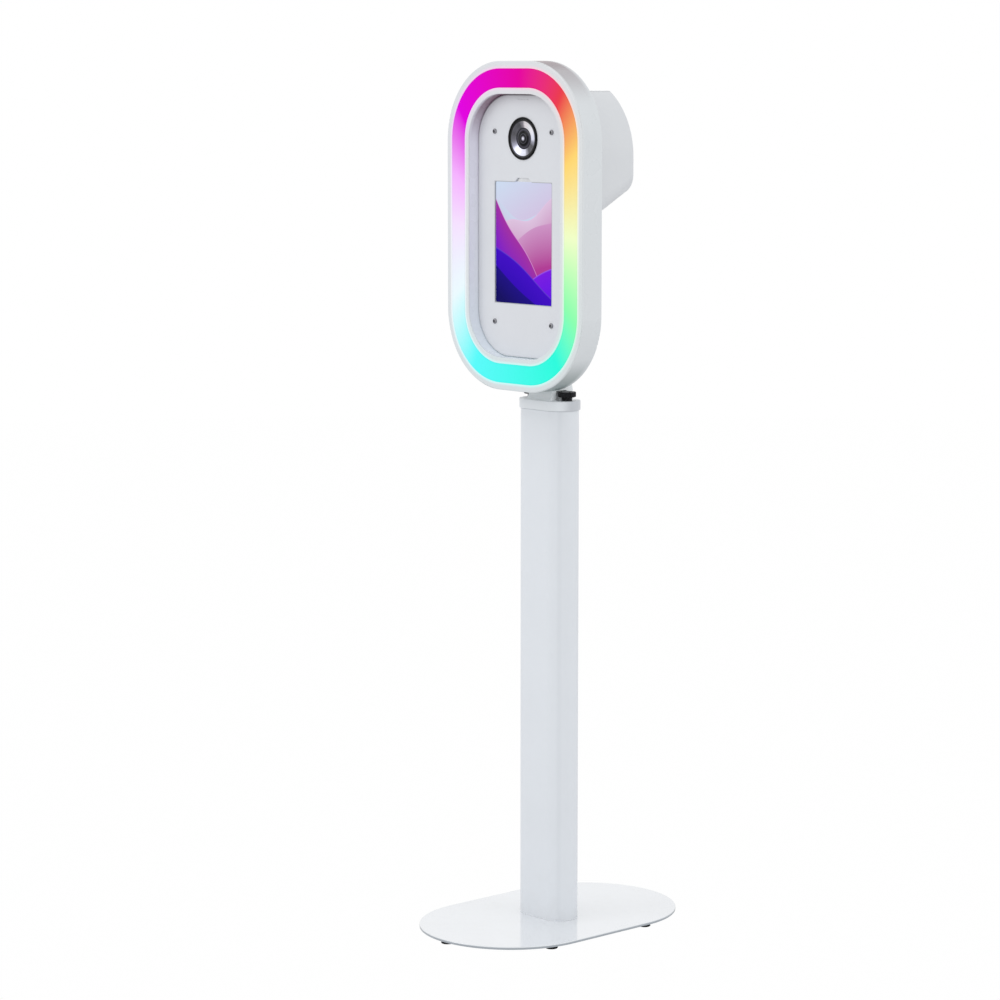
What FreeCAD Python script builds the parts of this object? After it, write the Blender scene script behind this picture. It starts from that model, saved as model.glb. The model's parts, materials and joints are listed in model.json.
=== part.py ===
import FreeCAD, Part
import math
import os

from FreeCAD import Vector

# Photo booth on a stand: a lit ring head that holds a tablet and a camera, tilting on a column.
# Millimetres, +Z up, the front faces -Y. The origin is on the floor under the middle of the base.

# ---- Driving sizes: stand ----
BASE_WIDTH = 347.6
BASE_LENGTH = 544.6
BASE_THICK = 5.0
BASE_EDGE_ROUND = 1.2
FOOT_HEIGHT = 5.0
FOOT_RADIUS = 12.0
FOOT_EDGE_INSET = 1.8
FRONT_SIDE_FOOT_Y = -137.0
REAR_SIDE_FOOT_Y = 100.0
FOOT_SCREW_RADIUS = 2.0
FOOT_SCREW_HEAD_RADIUS = 3.8
FOOT_SCREW_HEAD_HEIGHT = 2.0
COLUMN_WIDTH = 128.3
COLUMN_DEPTH = 69.8
COLUMN_LENGTH = 989.3
COLUMN_WALL = 3.0
INSERT_HEIGHT = 25.0
COLUMN_BOLT_RADIUS = 4.0
COLUMN_BOLT_HEAD_RADIUS = 7.0
COLUMN_BOLT_HEAD_HEIGHT = 3.6
COLUMN_BOLT_EDGE_X = 32.15
COLUMN_BOLT_EDGE_Y = 19.9
CAP_OVERHANG = 2.8
CAP_PLATE = 6.0
CAP_SKIRT = 11.6

# ---- Driving sizes: neck, knobs and tilt hinge ----
NECK_TO_KNOB = 15.0
NECK_FRONT = 23.0
NECK_TOE = 33.0
NECK_TOE_HEIGHT = 8.5
NECK_REAR = 29.0
NECK_BLOCK_HEIGHT = 20.7
EAR_THICK = 4.0
EAR_RADIUS = 20.0
PIVOT_RISE = 54.7
PIVOT_RADIUS = 5.0
PIVOT_HEAD_RADIUS = 9.0
PIVOT_HEAD_THICK = 6.0
WASHER_THICK = 1.0
WASHER_RADIUS = 13.0
NECK_BOLT_RADIUS = 3.0
NECK_BOLT_HEAD_RADIUS = 5.0
NECK_BOLT_EDGE = 14.0
KNOB_EDGE = 17.15
KNOB_RADIUS = 17.0
KNOB_LOBES = 6
KNOB_NOTCH_RADIUS = 5.0
KNOB_NOTCH_DEPTH = 2.6
KNOB_HUB_RADIUS = 10.0
KNOB_HUB_HEIGHT = 6.6
KNOB_HEAD_HEIGHT = 10.0
KNOB_STUD_RADIUS = 4.0
KNOB_STUD_LENGTH = 24.0
KNOB_POCKET_CLEARANCE = 3.0

# ---- Driving sizes: ring head ----
HEAD_WIDTH = 371.8
HEAD_HEIGHT = 609.8
HEAD_DEPTH = 49.7
HEAD_CORNER = 147.0
HEAD_BACK = 43.1
HEAD_DROP = 34.1
HEAD_WALL = 3.0
HEAD_FRONT_ROUND = 2.0
HEAD_REAR_ROUND = 2.5
OUTER_BEZEL = 13.7
LED_BAND = 35.4
INNER_BEZEL = 11.6
PANEL_RECESS = 24.0
PANEL_THICK = 3.0
PANEL_GAP = 1.0
LEDGE_WIDTH = 7.0
LEDGE_THICK = 2.5
DIFFUSER_THICK = 3.0
DIFFUSER_LIP = 4.0
DIFFUSER_LIP_THICK = 2.0
BOARD_WIDTH = 22.0
BOARD_THICK = 1.6
LED_COUNT = 72
LED_SIZE = 5.0
LED_HEIGHT = 1.6
FRAME_SCREW_COUNT = 10
FRAME_SCREW_RADIUS = 1.5

# ---- Driving sizes: front panel, window and lens port (heights from the head's middle) ----
WINDOW_WIDTH = 155.4
WINDOW_HEIGHT = 225.3
WINDOW_RISE = -30.9
WINDOW_CORNER = 3.0
NOTCH_BASE = 48.0
NOTCH_TOP = 30.0
NOTCH_HEIGHT = 8.0
PANEL_SCREW_X = 77.7
PANEL_SCREW_BELOW_TABLET = 24.6
PANEL_SCREW_ABOVE_TABLET = 81.4
PANEL_SCREW_RADIUS = 2.5
PANEL_SCREW_HEAD_RADIUS = 5.0
PANEL_SCREW_HEAD_HEIGHT = 2.6
STANDOFF_RADIUS = 5.0
MIC_HOLE_RADIUS = 1.0
MIC_HOLE_SPACING = 8.0
MIC_HOLE_COUNT = 4
MIC_HOLE_RISE = 234.2
LENS_RISE = 162.5
PORT_RADIUS = 39.6
PORT_RING_WIDTH = 4.5
PORT_PROUD = 2.5
PORT_SLEEVE_WALL = 1.9
PORT_THROAT_RADIUS = 20.0
PORT_CONE_DEPTH = 3.0
PORT_GLASS_THICK = 2.0
PORT_DOME_RISE = 3.0
PORT_DOME_STEPS = 10

# ---- Driving sizes: tablet ----
TABLET_WIDTH = 179.5
TABLET_HEIGHT = 248.6
TABLET_THICK = 6.0
TABLET_CORNER = 12.0
SCREEN_WIDTH = 158.0
SCREEN_HEIGHT = 227.0
SCREEN_THICK = 1.0
CRADLE_THICK = 2.0
CRADLE_LIP_LENGTH = 60.0
CRADLE_POST_RADIUS = 4.0
CRADLE_POST_SPACING_X = 130.0
CRADLE_POST_SPACING_Z = 170.0
TABLET_KEY_LENGTH = 12.0
TABLET_KEY_WIDTH = 2.4
TABLET_KEY_PROUD = 0.8
TABLET_KEY_DEPTH = 1.6
TABLET_KEY_X = 60.0
TABLET_KEY_TRAVEL = 0.4

# ---- Driving sizes: camera housing ----
HOUSING_RADIUS = 146.2
HOUSING_RISE = 129.1
HOUSING_TOP_CUT = 25.5
HOUSING_REAR = 76.0
HOUSING_BOTTOM_FRONT = -1.1
HOUSING_SLOPE_DEG = 28.5
HOUSING_CORNER = 31.3
HOUSING_WALL = 3.0
HOUSING_REAR_ROUND = 4.0
FLANGE_WIDTH = 14.0
HOUSING_SCREW_RADIUS = 2.0
DOOR_SIDE_MARGIN = 52.2
DOOR_LOW = -38.0
DOOR_TOP_MARGIN = 17.7
DOOR_THICK = 2.5
DOOR_OVERLAP = 6.0
DOOR_CORNER = 8.0
HINGE_PIN_RADIUS = 2.0
HINGE_KNUCKLE_RADIUS = 4.2
HINGE_KNUCKLE_LENGTH = 30.0
HINGE_LEAF_THICK = 1.5
HINGE_OFFSET = 7.0
LATCH_INSET = 19.0
LATCH_KNOB_RADIUS = 9.0
LATCH_KNOB_HEIGHT = 8.0
LATCH_SHAFT_RADIUS = 4.0
LATCH_CAM_LENGTH = 22.0
LATCH_CAM_WIDTH = 8.0
LATCH_CAM_THICK = 2.5
VENT_COUNT = 9
VENT_PITCH = 14.0
VENT_LENGTH = 34.0
VENT_WIDTH = 5.0
VENT_RISE = -110.0

# ---- Driving sizes: camera ----
CAMERA_WIDTH = 128.0
CAMERA_HEIGHT = 92.0
CAMERA_DEPTH = 48.0
CAMERA_FRONT = 12.0
CAMERA_ROUND = 7.0
LENS_DROP = 44.4
HUMP_WIDTH = 48.0
HUMP_HEIGHT = 15.0
HUMP_DEPTH = 34.0
GRIP_WIDTH = 22.0
GRIP_REACH = 20.0
GRIP_HEIGHT = 87.0
LENS_CORE_RADIUS = 27.0
LENS_RIM_RADIUS = 31.5
LENS_RING_RADIUS = 33.0
LENS_BORE_RADIUS = 23.0
LENS_RIM_LENGTH = 9.5
FOCUS_RING_LENGTH = 14.0
ZOOM_RING_LENGTH = 27.0
RING_END_GAP = 1.0
SHUTTER_RADIUS = 6.0
SHUTTER_TRAVEL = 1.2
SHUTTER_PROUD = 1.7
DIAL_RADIUS = 9.0
DIAL_HEIGHT = 6.0
DIAL_AXLE_RADIUS = 3.0
DISPLAY_WIDTH = 76.0
DISPLAY_HEIGHT = 54.0
DISPLAY_THICK = 1.5
SHELF_THICK = 3.0
SHELF_WIDTH = 84.0
SHELF_FLANGE = 46.0
SHELF_SCREW_RADIUS = 2.5
SHELF_SCREW_SPACING_X = 60.0
SHELF_SCREW_SPACING_Z = 20.0
TRIPOD_SCREW_RADIUS = 3.1
TRIPOD_KNOB_RADIUS = 11.0
TRIPOD_KNOB_HEIGHT = 11.0

# ---- Driving sizes: electrics ----
SUPPLY_WIDTH = 130.0
SUPPLY_DEPTH = 32.0
SUPPLY_HEIGHT = 30.0
SUPPLY_RISE = 37.2
CONTROLLER_WIDTH = 90.0
CONTROLLER_HEIGHT = 44.0
CONTROLLER_DEPTH = 13.0
CONTROLLER_MARGIN = 3.0
INLET_LENGTH = 47.0
INLET_WIDTH = 28.0
INLET_FLANGE = 2.0
INLET_WALL = 3.0
INLET_DEPTH = 24.0
INLET_Y = -4.0
INLET_RISE = 97.7
SOCKET_LENGTH = 18.0
SOCKET_WIDTH = 16.0
SOCKET_DEPTH = 17.0
SOCKET_SHIFT = 9.5
PIN_RADIUS = 1.4
PIN_LENGTH = 9.0
PIN_SPACING = 8.0
ROCKER_LENGTH = 13.0
ROCKER_WIDTH = 10.0
ROCKER_SHIFT = 12.0
ROCKER_HALF_TILT_DEG = 7.0

# ---- Clearances ----
FIT_GAP = 0.1
BODY_GAP = 0.3
RUNNING_GAP = 0.08
SEAT_GAP = 0.5

# ---- Levels and places that follow from the sizes ----
KNOB_X = COLUMN_WIDTH / 2 - KNOB_EDGE
NECK_WIDTH = 2 * (KNOB_X - NECK_TO_KNOB)
NECK_BOLT_SPACING = NECK_WIDTH - 2 * NECK_BOLT_EDGE
PANEL_SCREW_LOW = WINDOW_RISE - TABLET_HEIGHT / 2 - PANEL_SCREW_BELOW_TABLET
PANEL_SCREW_HIGH = WINDOW_RISE + TABLET_HEIGHT / 2 + PANEL_SCREW_ABOVE_TABLET
HOUSING_FLAT_TOP = HOUSING_RADIUS - HOUSING_TOP_CUT
DOOR_HALF_WIDTH = HOUSING_RADIUS - DOOR_SIDE_MARGIN
DOOR_HIGH = HOUSING_FLAT_TOP - DOOR_TOP_MARGIN
PLATE_TOP = FOOT_HEIGHT + BASE_THICK
COLUMN_TOP = PLATE_TOP + COLUMN_LENGTH
CAP_TOP = COLUMN_TOP + CAP_PLATE
PIVOT_Z = CAP_TOP + PIVOT_RISE
HEAD_BOTTOM = PIVOT_Z - HEAD_DROP
HEAD_MIDDLE = HEAD_BOTTOM + HEAD_HEIGHT / 2
BACK_Y = -HEAD_BACK
FRONT_Y = BACK_Y - HEAD_DEPTH
BACK_WALL_Y = BACK_Y - HEAD_WALL
PANEL_FRONT_Y = FRONT_Y + PANEL_RECESS
PANEL_BACK_Y = PANEL_FRONT_Y + PANEL_THICK
RING_WIDTH = OUTER_BEZEL + LED_BAND + INNER_BEZEL
CONTROLLER_RISE = RING_WIDTH + CONTROLLER_MARGIN + CONTROLLER_HEIGHT / 2 - HEAD_HEIGHT / 2
LENS_Z = HEAD_MIDDLE + LENS_RISE
WINDOW_Z = HEAD_MIDDLE + WINDOW_RISE
HOUSING_Z = HEAD_MIDDLE + HOUSING_RISE
HOUSING_INNER_Y = HOUSING_REAR - HOUSING_WALL
CAMERA_BOTTOM = LENS_Z - LENS_DROP
SHELF_BOTTOM = CAMERA_BOTTOM - SHELF_THICK


def box(x_low, x_high, y_low, y_high, z_low, z_high):
    corner = Vector(x_low, y_low, z_low)
    return Part.makeBox(x_high - x_low, y_high - y_low, z_high - z_low, corner)


def rod(start, direction, length, radius):
    return Part.makeCylinder(radius, length, Vector(*start), Vector(*direction))


def rounded_edges(half_a, half_b, radius, place):
    """Edges of a rounded rectangle; place(a, b) turns its two coordinates into a point."""
    flat_a = half_a - radius
    flat_b = half_b - radius
    diagonal = radius / math.sqrt(2)
    edges = []
    for sign_a, sign_b in ((1, 1), (-1, 1), (-1, -1), (1, -1)):
        on_side = (sign_a * half_a, sign_b * flat_b)
        on_end = (sign_a * flat_a, sign_b * half_b)
        middle = (sign_a * (flat_a + diagonal), sign_b * (flat_b + diagonal))
        first, last = (on_side, on_end) if sign_a * sign_b > 0 else (on_end, on_side)
        edges.append(Part.Arc(place(*first), place(*middle), place(*last)).toShape())
    corners = [(edge.Vertexes[0].Point, edge.Vertexes[-1].Point) for edge in edges]
    joined = []
    for index, edge in enumerate(edges):
        joined.append(edge)
        end = corners[index][1]
        start = corners[(index + 1) % len(edges)][0]
        if end.distanceToPoint(start) > 1e-6:
            joined.append(Part.LineSegment(end, start).toShape())
    return joined


def slab_xz(half_x, half_z, radius, z_middle, y_low, y_high):
    """A rounded rectangle standing upright, from y_low to y_high."""
    edges = rounded_edges(half_x, half_z, radius, lambda a, b: Vector(a, y_low, z_middle + b))
    return Part.Face(Part.Wire(edges)).extrude(Vector(0, y_high - y_low, 0))


def slab_xy(half_x, half_y, radius, z_low, z_high):
    """A rounded rectangle lying flat, from z_low to z_high."""
    edges = rounded_edges(half_x, half_y, radius, lambda a, b: Vector(a, b, z_low))
    return Part.Face(Part.Wire(edges)).extrude(Vector(0, 0, z_high - z_low))


def head_slab(inset, y_low, y_high):
    """The head's outline moved inwards by inset, from y_low to y_high."""
    half_x = HEAD_WIDTH / 2 - inset
    half_z = HEAD_HEIGHT / 2 - inset
    return slab_xz(half_x, half_z, HEAD_CORNER - inset, HEAD_MIDDLE, y_low, y_high)


def head_ring(outer_inset, inner_inset, y_low, y_high):
    margin = 1.0
    hole = head_slab(inner_inset, y_low - margin, y_high + margin)
    return head_slab(outer_inset, y_low, y_high).cut(hole)


def points_round_head(inset, count):
    """Evenly spaced (x, z, turn) places on the head's outline moved inwards by inset."""
    half_x = HEAD_WIDTH / 2 - inset
    half_z = HEAD_HEIGHT / 2 - inset
    radius = HEAD_CORNER - inset
    flat_x = half_x - radius
    flat_z = half_z - radius
    quarter = math.pi * radius / 2
    runs = [2 * flat_z, quarter, 2 * flat_x, quarter, 2 * flat_z, quarter, 2 * flat_x, quarter]
    total = sum(runs)
    places = []
    for index in range(count):
        left = total * (index + 0.5) / count
        run = 0
        while left > runs[run]:
            left -= runs[run]
            run += 1
        side = run // 2
        turn = 90 * side
        if run % 2 == 0:
            along = left - runs[run] / 2
            x, z = (half_x, along) if side % 2 == 0 else (-along, half_z)
            if side >= 2:
                x, z = -half_x if side == 2 else along, -along if side == 2 else -half_z
        else:
            turn += math.degrees(left / radius)
            corner = ((1, 1), (-1, 1), (-1, -1), (1, -1))[side]
            x = corner[0] * flat_x + radius * math.cos(math.radians(turn))
            z = corner[1] * flat_z + radius * math.sin(math.radians(turn))
        places.append((x, HEAD_MIDDLE + z, turn))
    return places


def turned_about_y(profile, z_axis):
    """Revolves a closed list of (radius, y) points about the line x = 0, z = z_axis."""
    points = [Vector(radius, y, z_axis) for radius, y in profile]
    face = Part.Face(Part.makePolygon(points + points[:1]))
    return face.revolve(Vector(0, 0, z_axis), Vector(0, 1, 0), 360)


def extruded_yz(points, x_low, x_high):
    """A closed (y, z) outline drawn from x_low to x_high."""
    corners = [Vector(x_low, y, z) for y, z in points]
    face = Part.Face(Part.makePolygon(corners + corners[:1]))
    return face.extrude(Vector(x_high - x_low, 0, 0))


def mirrored_x(shape):
    return shape.mirror(Vector(0, 0, 0), Vector(1, 0, 0))


def edges_at(shape, test):
    """The edges whose every vertex passes the test."""
    return [edge for edge in shape.Edges if all(test(vertex.Point) for vertex in edge.Vertexes)]


def fused(shapes):
    return shapes[0].multiFuse(shapes[1:]).removeSplitter()


parts = {}


# ---- Stand ----
def foot_places():
    end_y = BASE_LENGTH / 2 - FOOT_RADIUS - FOOT_EDGE_INSET
    side_x = BASE_WIDTH / 2 - FOOT_RADIUS - FOOT_EDGE_INSET
    places = [(0, -end_y), (0, end_y)]
    half_flat = (BASE_LENGTH - BASE_WIDTH) / 2
    for y in (FRONT_SIDE_FOOT_Y, REAR_SIDE_FOOT_Y):
        past_flat = max(0.0, abs(y) - half_flat)
        x = math.sqrt(side_x**2 - past_flat**2)
        places += [(x, y), (-x, y)]
    return places


def column_bolt_places():
    half_x = COLUMN_WIDTH / 2 - COLUMN_BOLT_EDGE_X
    half_y = COLUMN_DEPTH / 2 - COLUMN_BOLT_EDGE_Y
    return [(sx * half_x, sy * half_y) for sx in (-1, 1) for sy in (-1, 1)]


def add_base():
    half_x = BASE_WIDTH / 2
    plate = slab_xy(half_x, BASE_LENGTH / 2, half_x, FOOT_HEIGHT, PLATE_TOP)
    rim = edges_at(plate, lambda p: p.z > PLATE_TOP - 0.01)
    plate = plate.makeFillet(BASE_EDGE_ROUND, rim)
    for x, y in column_bolt_places():
        plate = plate.cut(rod((x, y, 0), (0, 0, 1), PLATE_TOP + 1, COLUMN_BOLT_RADIUS + FIT_GAP))
    screw_top = FOOT_HEIGHT + BASE_THICK * 0.7
    feet = []
    screws = []
    for x, y in foot_places():
        shank = rod((x, y, FOOT_SCREW_HEAD_HEIGHT), (0, 0, 1), screw_top, FOOT_SCREW_RADIUS)
        shank = shank.common(box(x - 9, x + 9, y - 9, y + 9, 0, screw_top))
        head_low = FOOT_SCREW_HEAD_HEIGHT / 2
        head = rod((x, y, head_low), (0, 0, 1), FOOT_SCREW_HEAD_HEIGHT, FOOT_SCREW_HEAD_RADIUS)
        screws.append(head.fuse(shank).removeSplitter())
        foot = rod((x, y, 0), (0, 0, 1), FOOT_HEIGHT, FOOT_RADIUS)
        pocket_radius = FOOT_SCREW_HEAD_RADIUS + FIT_GAP
        foot = foot.cut(rod((x, y, -1), (0, 0, 1), head_low + FOOT_SCREW_HEAD_HEIGHT + 1, pocket_radius))
        foot = foot.cut(rod((x, y, -1), (0, 0, 1), FOOT_HEIGHT + 2, FOOT_SCREW_RADIUS + FIT_GAP))
        feet.append(foot)
        plate = plate.cut(rod((x, y, 0), (0, 0, 1), screw_top + FIT_GAP, FOOT_SCREW_RADIUS + FIT_GAP))
    parts["base_plate"] = plate
    parts["rubber_feet"] = Part.makeCompound(feet)
    parts["foot_screws"] = Part.makeCompound(screws)


def add_column():
    half_x = COLUMN_WIDTH / 2
    half_y = COLUMN_DEPTH / 2
    bore_x = half_x - COLUMN_WALL
    bore_y = half_y - COLUMN_WALL
    tube = slab_xy(half_x, half_y, half_y, PLATE_TOP, COLUMN_TOP)
    parts["column_tube"] = tube.cut(slab_xy(bore_x, bore_y, bore_y, PLATE_TOP - 1, COLUMN_TOP + 1))
    plug_x = bore_x - FIT_GAP
    plug_y = bore_y - FIT_GAP
    foot = slab_xy(plug_x, plug_y, plug_y, PLATE_TOP, PLATE_TOP + INSERT_HEIGHT)
    bolts = []
    for x, y in column_bolt_places():
        shank_top = PLATE_TOP + INSERT_HEIGHT * 0.8
        foot = foot.cut(rod((x, y, PLATE_TOP), (0, 0, 1), INSERT_HEIGHT + 1, COLUMN_BOLT_RADIUS + FIT_GAP))
        shank = rod((x, y, FOOT_HEIGHT), (0, 0, 1), shank_top - FOOT_HEIGHT, COLUMN_BOLT_RADIUS)
        head_low = FOOT_HEIGHT - COLUMN_BOLT_HEAD_HEIGHT
        head = rod((x, y, head_low), (0, 0, 1), COLUMN_BOLT_HEAD_HEIGHT, COLUMN_BOLT_HEAD_RADIUS)
        bolts.append(head.fuse(shank).removeSplitter())
    parts["column_foot"] = foot
    parts["column_bolts"] = Part.makeCompound(bolts)

    insert = slab_xy(plug_x, plug_y, plug_y, COLUMN_TOP - INSERT_HEIGHT, COLUMN_TOP)
    cap_x = half_x + CAP_OVERHANG
    cap_y = half_y + CAP_OVERHANG
    cap = slab_xy(cap_x, cap_y, cap_y, COLUMN_TOP - CAP_SKIRT, CAP_TOP)
    socket_x = half_x + FIT_GAP
    socket_y = half_y + FIT_GAP
    cap = cap.cut(slab_xy(socket_x, socket_y, socket_y, COLUMN_TOP - CAP_SKIRT - 1, COLUMN_TOP))
    rim = edges_at(cap, lambda p: p.z > CAP_TOP - 0.01)
    cap = cap.makeFillet(1.0, rim)
    stud_hole = KNOB_STUD_RADIUS + BODY_GAP
    for side in (-1, 1):
        cap = cap.cut(rod((side * KNOB_X, 0, COLUMN_TOP - 1), (0, 0, 1), CAP_PLATE + 2, stud_hole))
        insert = insert.cut(rod((side * KNOB_X, 0, 0), (0, 0, 1), CAP_TOP, KNOB_STUD_RADIUS + RUNNING_GAP))
        bolt_x = side * NECK_BOLT_SPACING / 2
        cap = cap.cut(rod((bolt_x, 0, COLUMN_TOP - 1), (0, 0, 1), CAP_PLATE + 2, NECK_BOLT_RADIUS + FIT_GAP))
        insert = insert.cut(rod((bolt_x, 0, 0), (0, 0, 1), CAP_TOP, NECK_BOLT_HEAD_RADIUS + FIT_GAP))
    parts["column_cap"] = cap
    parts["column_top_insert"] = insert


# ---- Neck and tilt hinge ----
def ear(x_low, x_high, foot_z, y_low, y_high, radius):
    """A hinge ear standing on foot_z and rounded about the pivot."""
    disc = rod((x_low, 0, PIVOT_Z), (1, 0, 0), x_high - x_low, radius)
    outline = [(y_low, foot_z), (y_high, foot_z), (radius, PIVOT_Z), (-radius, PIVOT_Z)]
    return disc.fuse(extruded_yz(outline, x_low, x_high)).removeSplitter()


def add_neck():
    half = NECK_WIDTH / 2
    block_top = CAP_TOP + NECK_BLOCK_HEIGHT
    toe_start = Vector(-half, -NECK_TOE, CAP_TOP)
    toe_end = Vector(-half, -NECK_FRONT - 2.0, CAP_TOP + NECK_TOE_HEIGHT)
    toe_middle = Vector(-half, -NECK_FRONT - 4.6, CAP_TOP + NECK_TOE_HEIGHT * 0.32)
    corners = [
        toe_end,
        Vector(-half, -NECK_FRONT, block_top),
        Vector(-half, NECK_REAR, block_top),
        Vector(-half, NECK_REAR, CAP_TOP),
        toe_start,
    ]
    edges = [Part.Arc(toe_start, toe_middle, toe_end).toShape()]
    for first, last in zip(corners, corners[1:]):
        edges.append(Part.LineSegment(first, last).toShape())
    block = Part.Face(Part.Wire(edges)).extrude(Vector(NECK_WIDTH, 0, 0))
    right_ear = ear(half - EAR_THICK, half, block_top - 1, -NECK_FRONT, NECK_REAR, EAR_RADIUS)
    yoke = fused([block, right_ear, mirrored_x(right_ear)])
    pocket = KNOB_RADIUS + KNOB_POCKET_CLEARANCE
    pocket_height = KNOB_HUB_HEIGHT + KNOB_HEAD_HEIGHT + KNOB_POCKET_CLEARANCE / 2
    bolts = []
    for side in (-1, 1):
        yoke = yoke.cut(rod((side * KNOB_X, 0, CAP_TOP - 1), (0, 0, 1), pocket_height + 1, pocket))
        x = side * NECK_BOLT_SPACING / 2
        hole_height = NECK_BLOCK_HEIGHT * 0.75
        yoke = yoke.cut(rod((x, 0, CAP_TOP - 1), (0, 0, 1), hole_height + 1, NECK_BOLT_RADIUS + FIT_GAP))
        shank_low = COLUMN_TOP - NECK_BOLT_HEAD_RADIUS
        shank_length = CAP_TOP + hole_height - 1 - shank_low
        shank = rod((x, 0, shank_low), (0, 0, 1), shank_length, NECK_BOLT_RADIUS)
        head = rod((x, 0, shank_low), (0, 0, 1), NECK_BOLT_HEAD_RADIUS, NECK_BOLT_HEAD_RADIUS)
        bolts.append(head.fuse(shank).removeSplitter())
    yoke = yoke.cut(rod((-half - 1, 0, PIVOT_Z), (1, 0, 0), NECK_WIDTH + 2, PIVOT_RADIUS + FIT_GAP))
    parts["neck_yoke"] = yoke
    parts["neck_bolts"] = Part.makeCompound(bolts)

    head_x = -half - PIVOT_HEAD_THICK
    tail = PIVOT_HEAD_THICK + 3.0
    shank = rod((-half - 1, 0, PIVOT_Z), (1, 0, 0), NECK_WIDTH + tail + 1, PIVOT_RADIUS)
    parts["pivot_bolt"] = hexagon(head_x, PIVOT_HEAD_THICK).fuse(shank).removeSplitter()
    nut = hexagon(half, PIVOT_HEAD_THICK + 1)
    parts["pivot_nut"] = nut.cut(rod((half - 1, 0, PIVOT_Z), (1, 0, 0), 12, PIVOT_RADIUS + FIT_GAP))
    washer_x = half - EAR_THICK - WASHER_THICK
    washer = rod((washer_x, 0, PIVOT_Z), (1, 0, 0), WASHER_THICK, WASHER_RADIUS)
    washer = washer.cut(rod((washer_x - 1, 0, PIVOT_Z), (1, 0, 0), WASHER_THICK + 2, PIVOT_RADIUS + FIT_GAP))
    parts["friction_washers"] = Part.makeCompound([washer, mirrored_x(washer)])


def hexagon(x_low, thickness):
    corners = []
    for index in range(6):
        angle = math.radians(60 * index)
        y = PIVOT_HEAD_RADIUS * math.cos(angle)
        corners.append((y, PIVOT_Z + PIVOT_HEAD_RADIUS * math.sin(angle)))
    return extruded_yz(corners, x_low, x_low + thickness)


def add_knobs():
    foot = CAP_TOP + BODY_GAP
    head_low = foot + KNOB_HUB_HEIGHT
    knob = rod((0, 0, head_low), (0, 0, 1), KNOB_HEAD_HEIGHT, KNOB_RADIUS)
    knob = knob.makeFillet(1.5, knob.Edges[0:1] + knob.Edges[2:3])
    for index in range(KNOB_LOBES):
        angle = 2 * math.pi * (index + 0.5) / KNOB_LOBES
        reach = KNOB_RADIUS + KNOB_NOTCH_RADIUS - KNOB_NOTCH_DEPTH
        place = (reach * math.cos(angle), reach * math.sin(angle), head_low - 1)
        knob = knob.cut(rod(place, (0, 0, 1), KNOB_HEAD_HEIGHT + 2, KNOB_NOTCH_RADIUS))
    knob = knob.fuse(rod((0, 0, foot), (0, 0, 1), KNOB_HUB_HEIGHT, KNOB_HUB_RADIUS)).removeSplitter()
    stud_top = foot + KNOB_HUB_HEIGHT * 0.9
    knob = knob.cut(rod((0, 0, foot - 1), (0, 0, 1), stud_top - foot + 1 + FIT_GAP, KNOB_STUD_RADIUS + FIT_GAP))
    stud = rod((0, 0, stud_top - KNOB_STUD_LENGTH), (0, 0, 1), KNOB_STUD_LENGTH, KNOB_STUD_RADIUS)
    for name, side in (("left", -1), ("right", 1)):
        shift = Vector(side * KNOB_X, 0, 0)
        parts["thumb_knob_" + name] = knob.translated(shift)
        parts["knob_stud_" + name] = stud.translated(shift)


def bracket_screw_places():
    return [(side * 34.0, HEAD_BOTTOM + level) for side in (-1, 1) for level in (24.0, 84.0)]


def add_tilt_bracket():
    outer = NECK_WIDTH / 2 - EAR_THICK - WASHER_THICK - BODY_GAP
    plate_low = HEAD_BOTTOM + 12.0
    plate = box(-43, 43, BACK_Y, BACK_Y + EAR_THICK, plate_low, plate_low + 86)
    disc = rod((outer - EAR_THICK, 0, PIVOT_Z), (1, 0, 0), EAR_THICK, WASHER_RADIUS + 2)
    reach = WASHER_RADIUS + 2
    arm = [(BACK_Y, PIVOT_Z - reach), (0, PIVOT_Z - reach), (0, PIVOT_Z + reach), (BACK_Y, PIVOT_Z + 46)]
    right = disc.fuse(extruded_yz(arm, outer - EAR_THICK, outer)).removeSplitter()
    bracket = fused([plate, right, mirrored_x(right)])
    bracket = bracket.cut(rod((-50, 0, PIVOT_Z), (1, 0, 0), 100, PIVOT_RADIUS + RUNNING_GAP))
    screws = []
    for x, z in bracket_screw_places():
        bracket = bracket.cut(rod((x, BACK_Y - 1, z), (0, 1, 0), EAR_THICK + 2, 3.0 + FIT_GAP))
        head = rod((x, BACK_Y + EAR_THICK, z), (0, 1, 0), 3.5, 5.5)
        shank = rod((x, BACK_WALL_Y + FIT_GAP, z), (0, 1, 0), HEAD_WALL + EAR_THICK + 1, 3.0)
        screws.append(head.fuse(shank).removeSplitter())
    parts["tilt_bracket"] = bracket
    parts["bracket_screws"] = Part.makeCompound(screws)


# ---- Ring head ----
def housing_screw_places():
    """Round the housing's edge, inside its flange."""
    reach = HOUSING_RADIUS - FLANGE_WIDTH / 2 - 2
    places = [(side * reach * math.cos(math.radians(a)), HOUSING_Z + reach * math.sin(math.radians(a)))
              for side in (-1, 1) for a in (0, 40)]
    low_z = HEAD_MIDDLE + HOUSING_BOTTOM_FRONT + FLANGE_WIDTH * 0.8
    places += [(side * 80.0, low_z) for side in (-1, 1)]
    return places


def post_places():
    return [(side * PANEL_SCREW_X, HEAD_MIDDLE + rise)
            for side in (-1, 1) for rise in (PANEL_SCREW_LOW, PANEL_SCREW_HIGH)]


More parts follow.
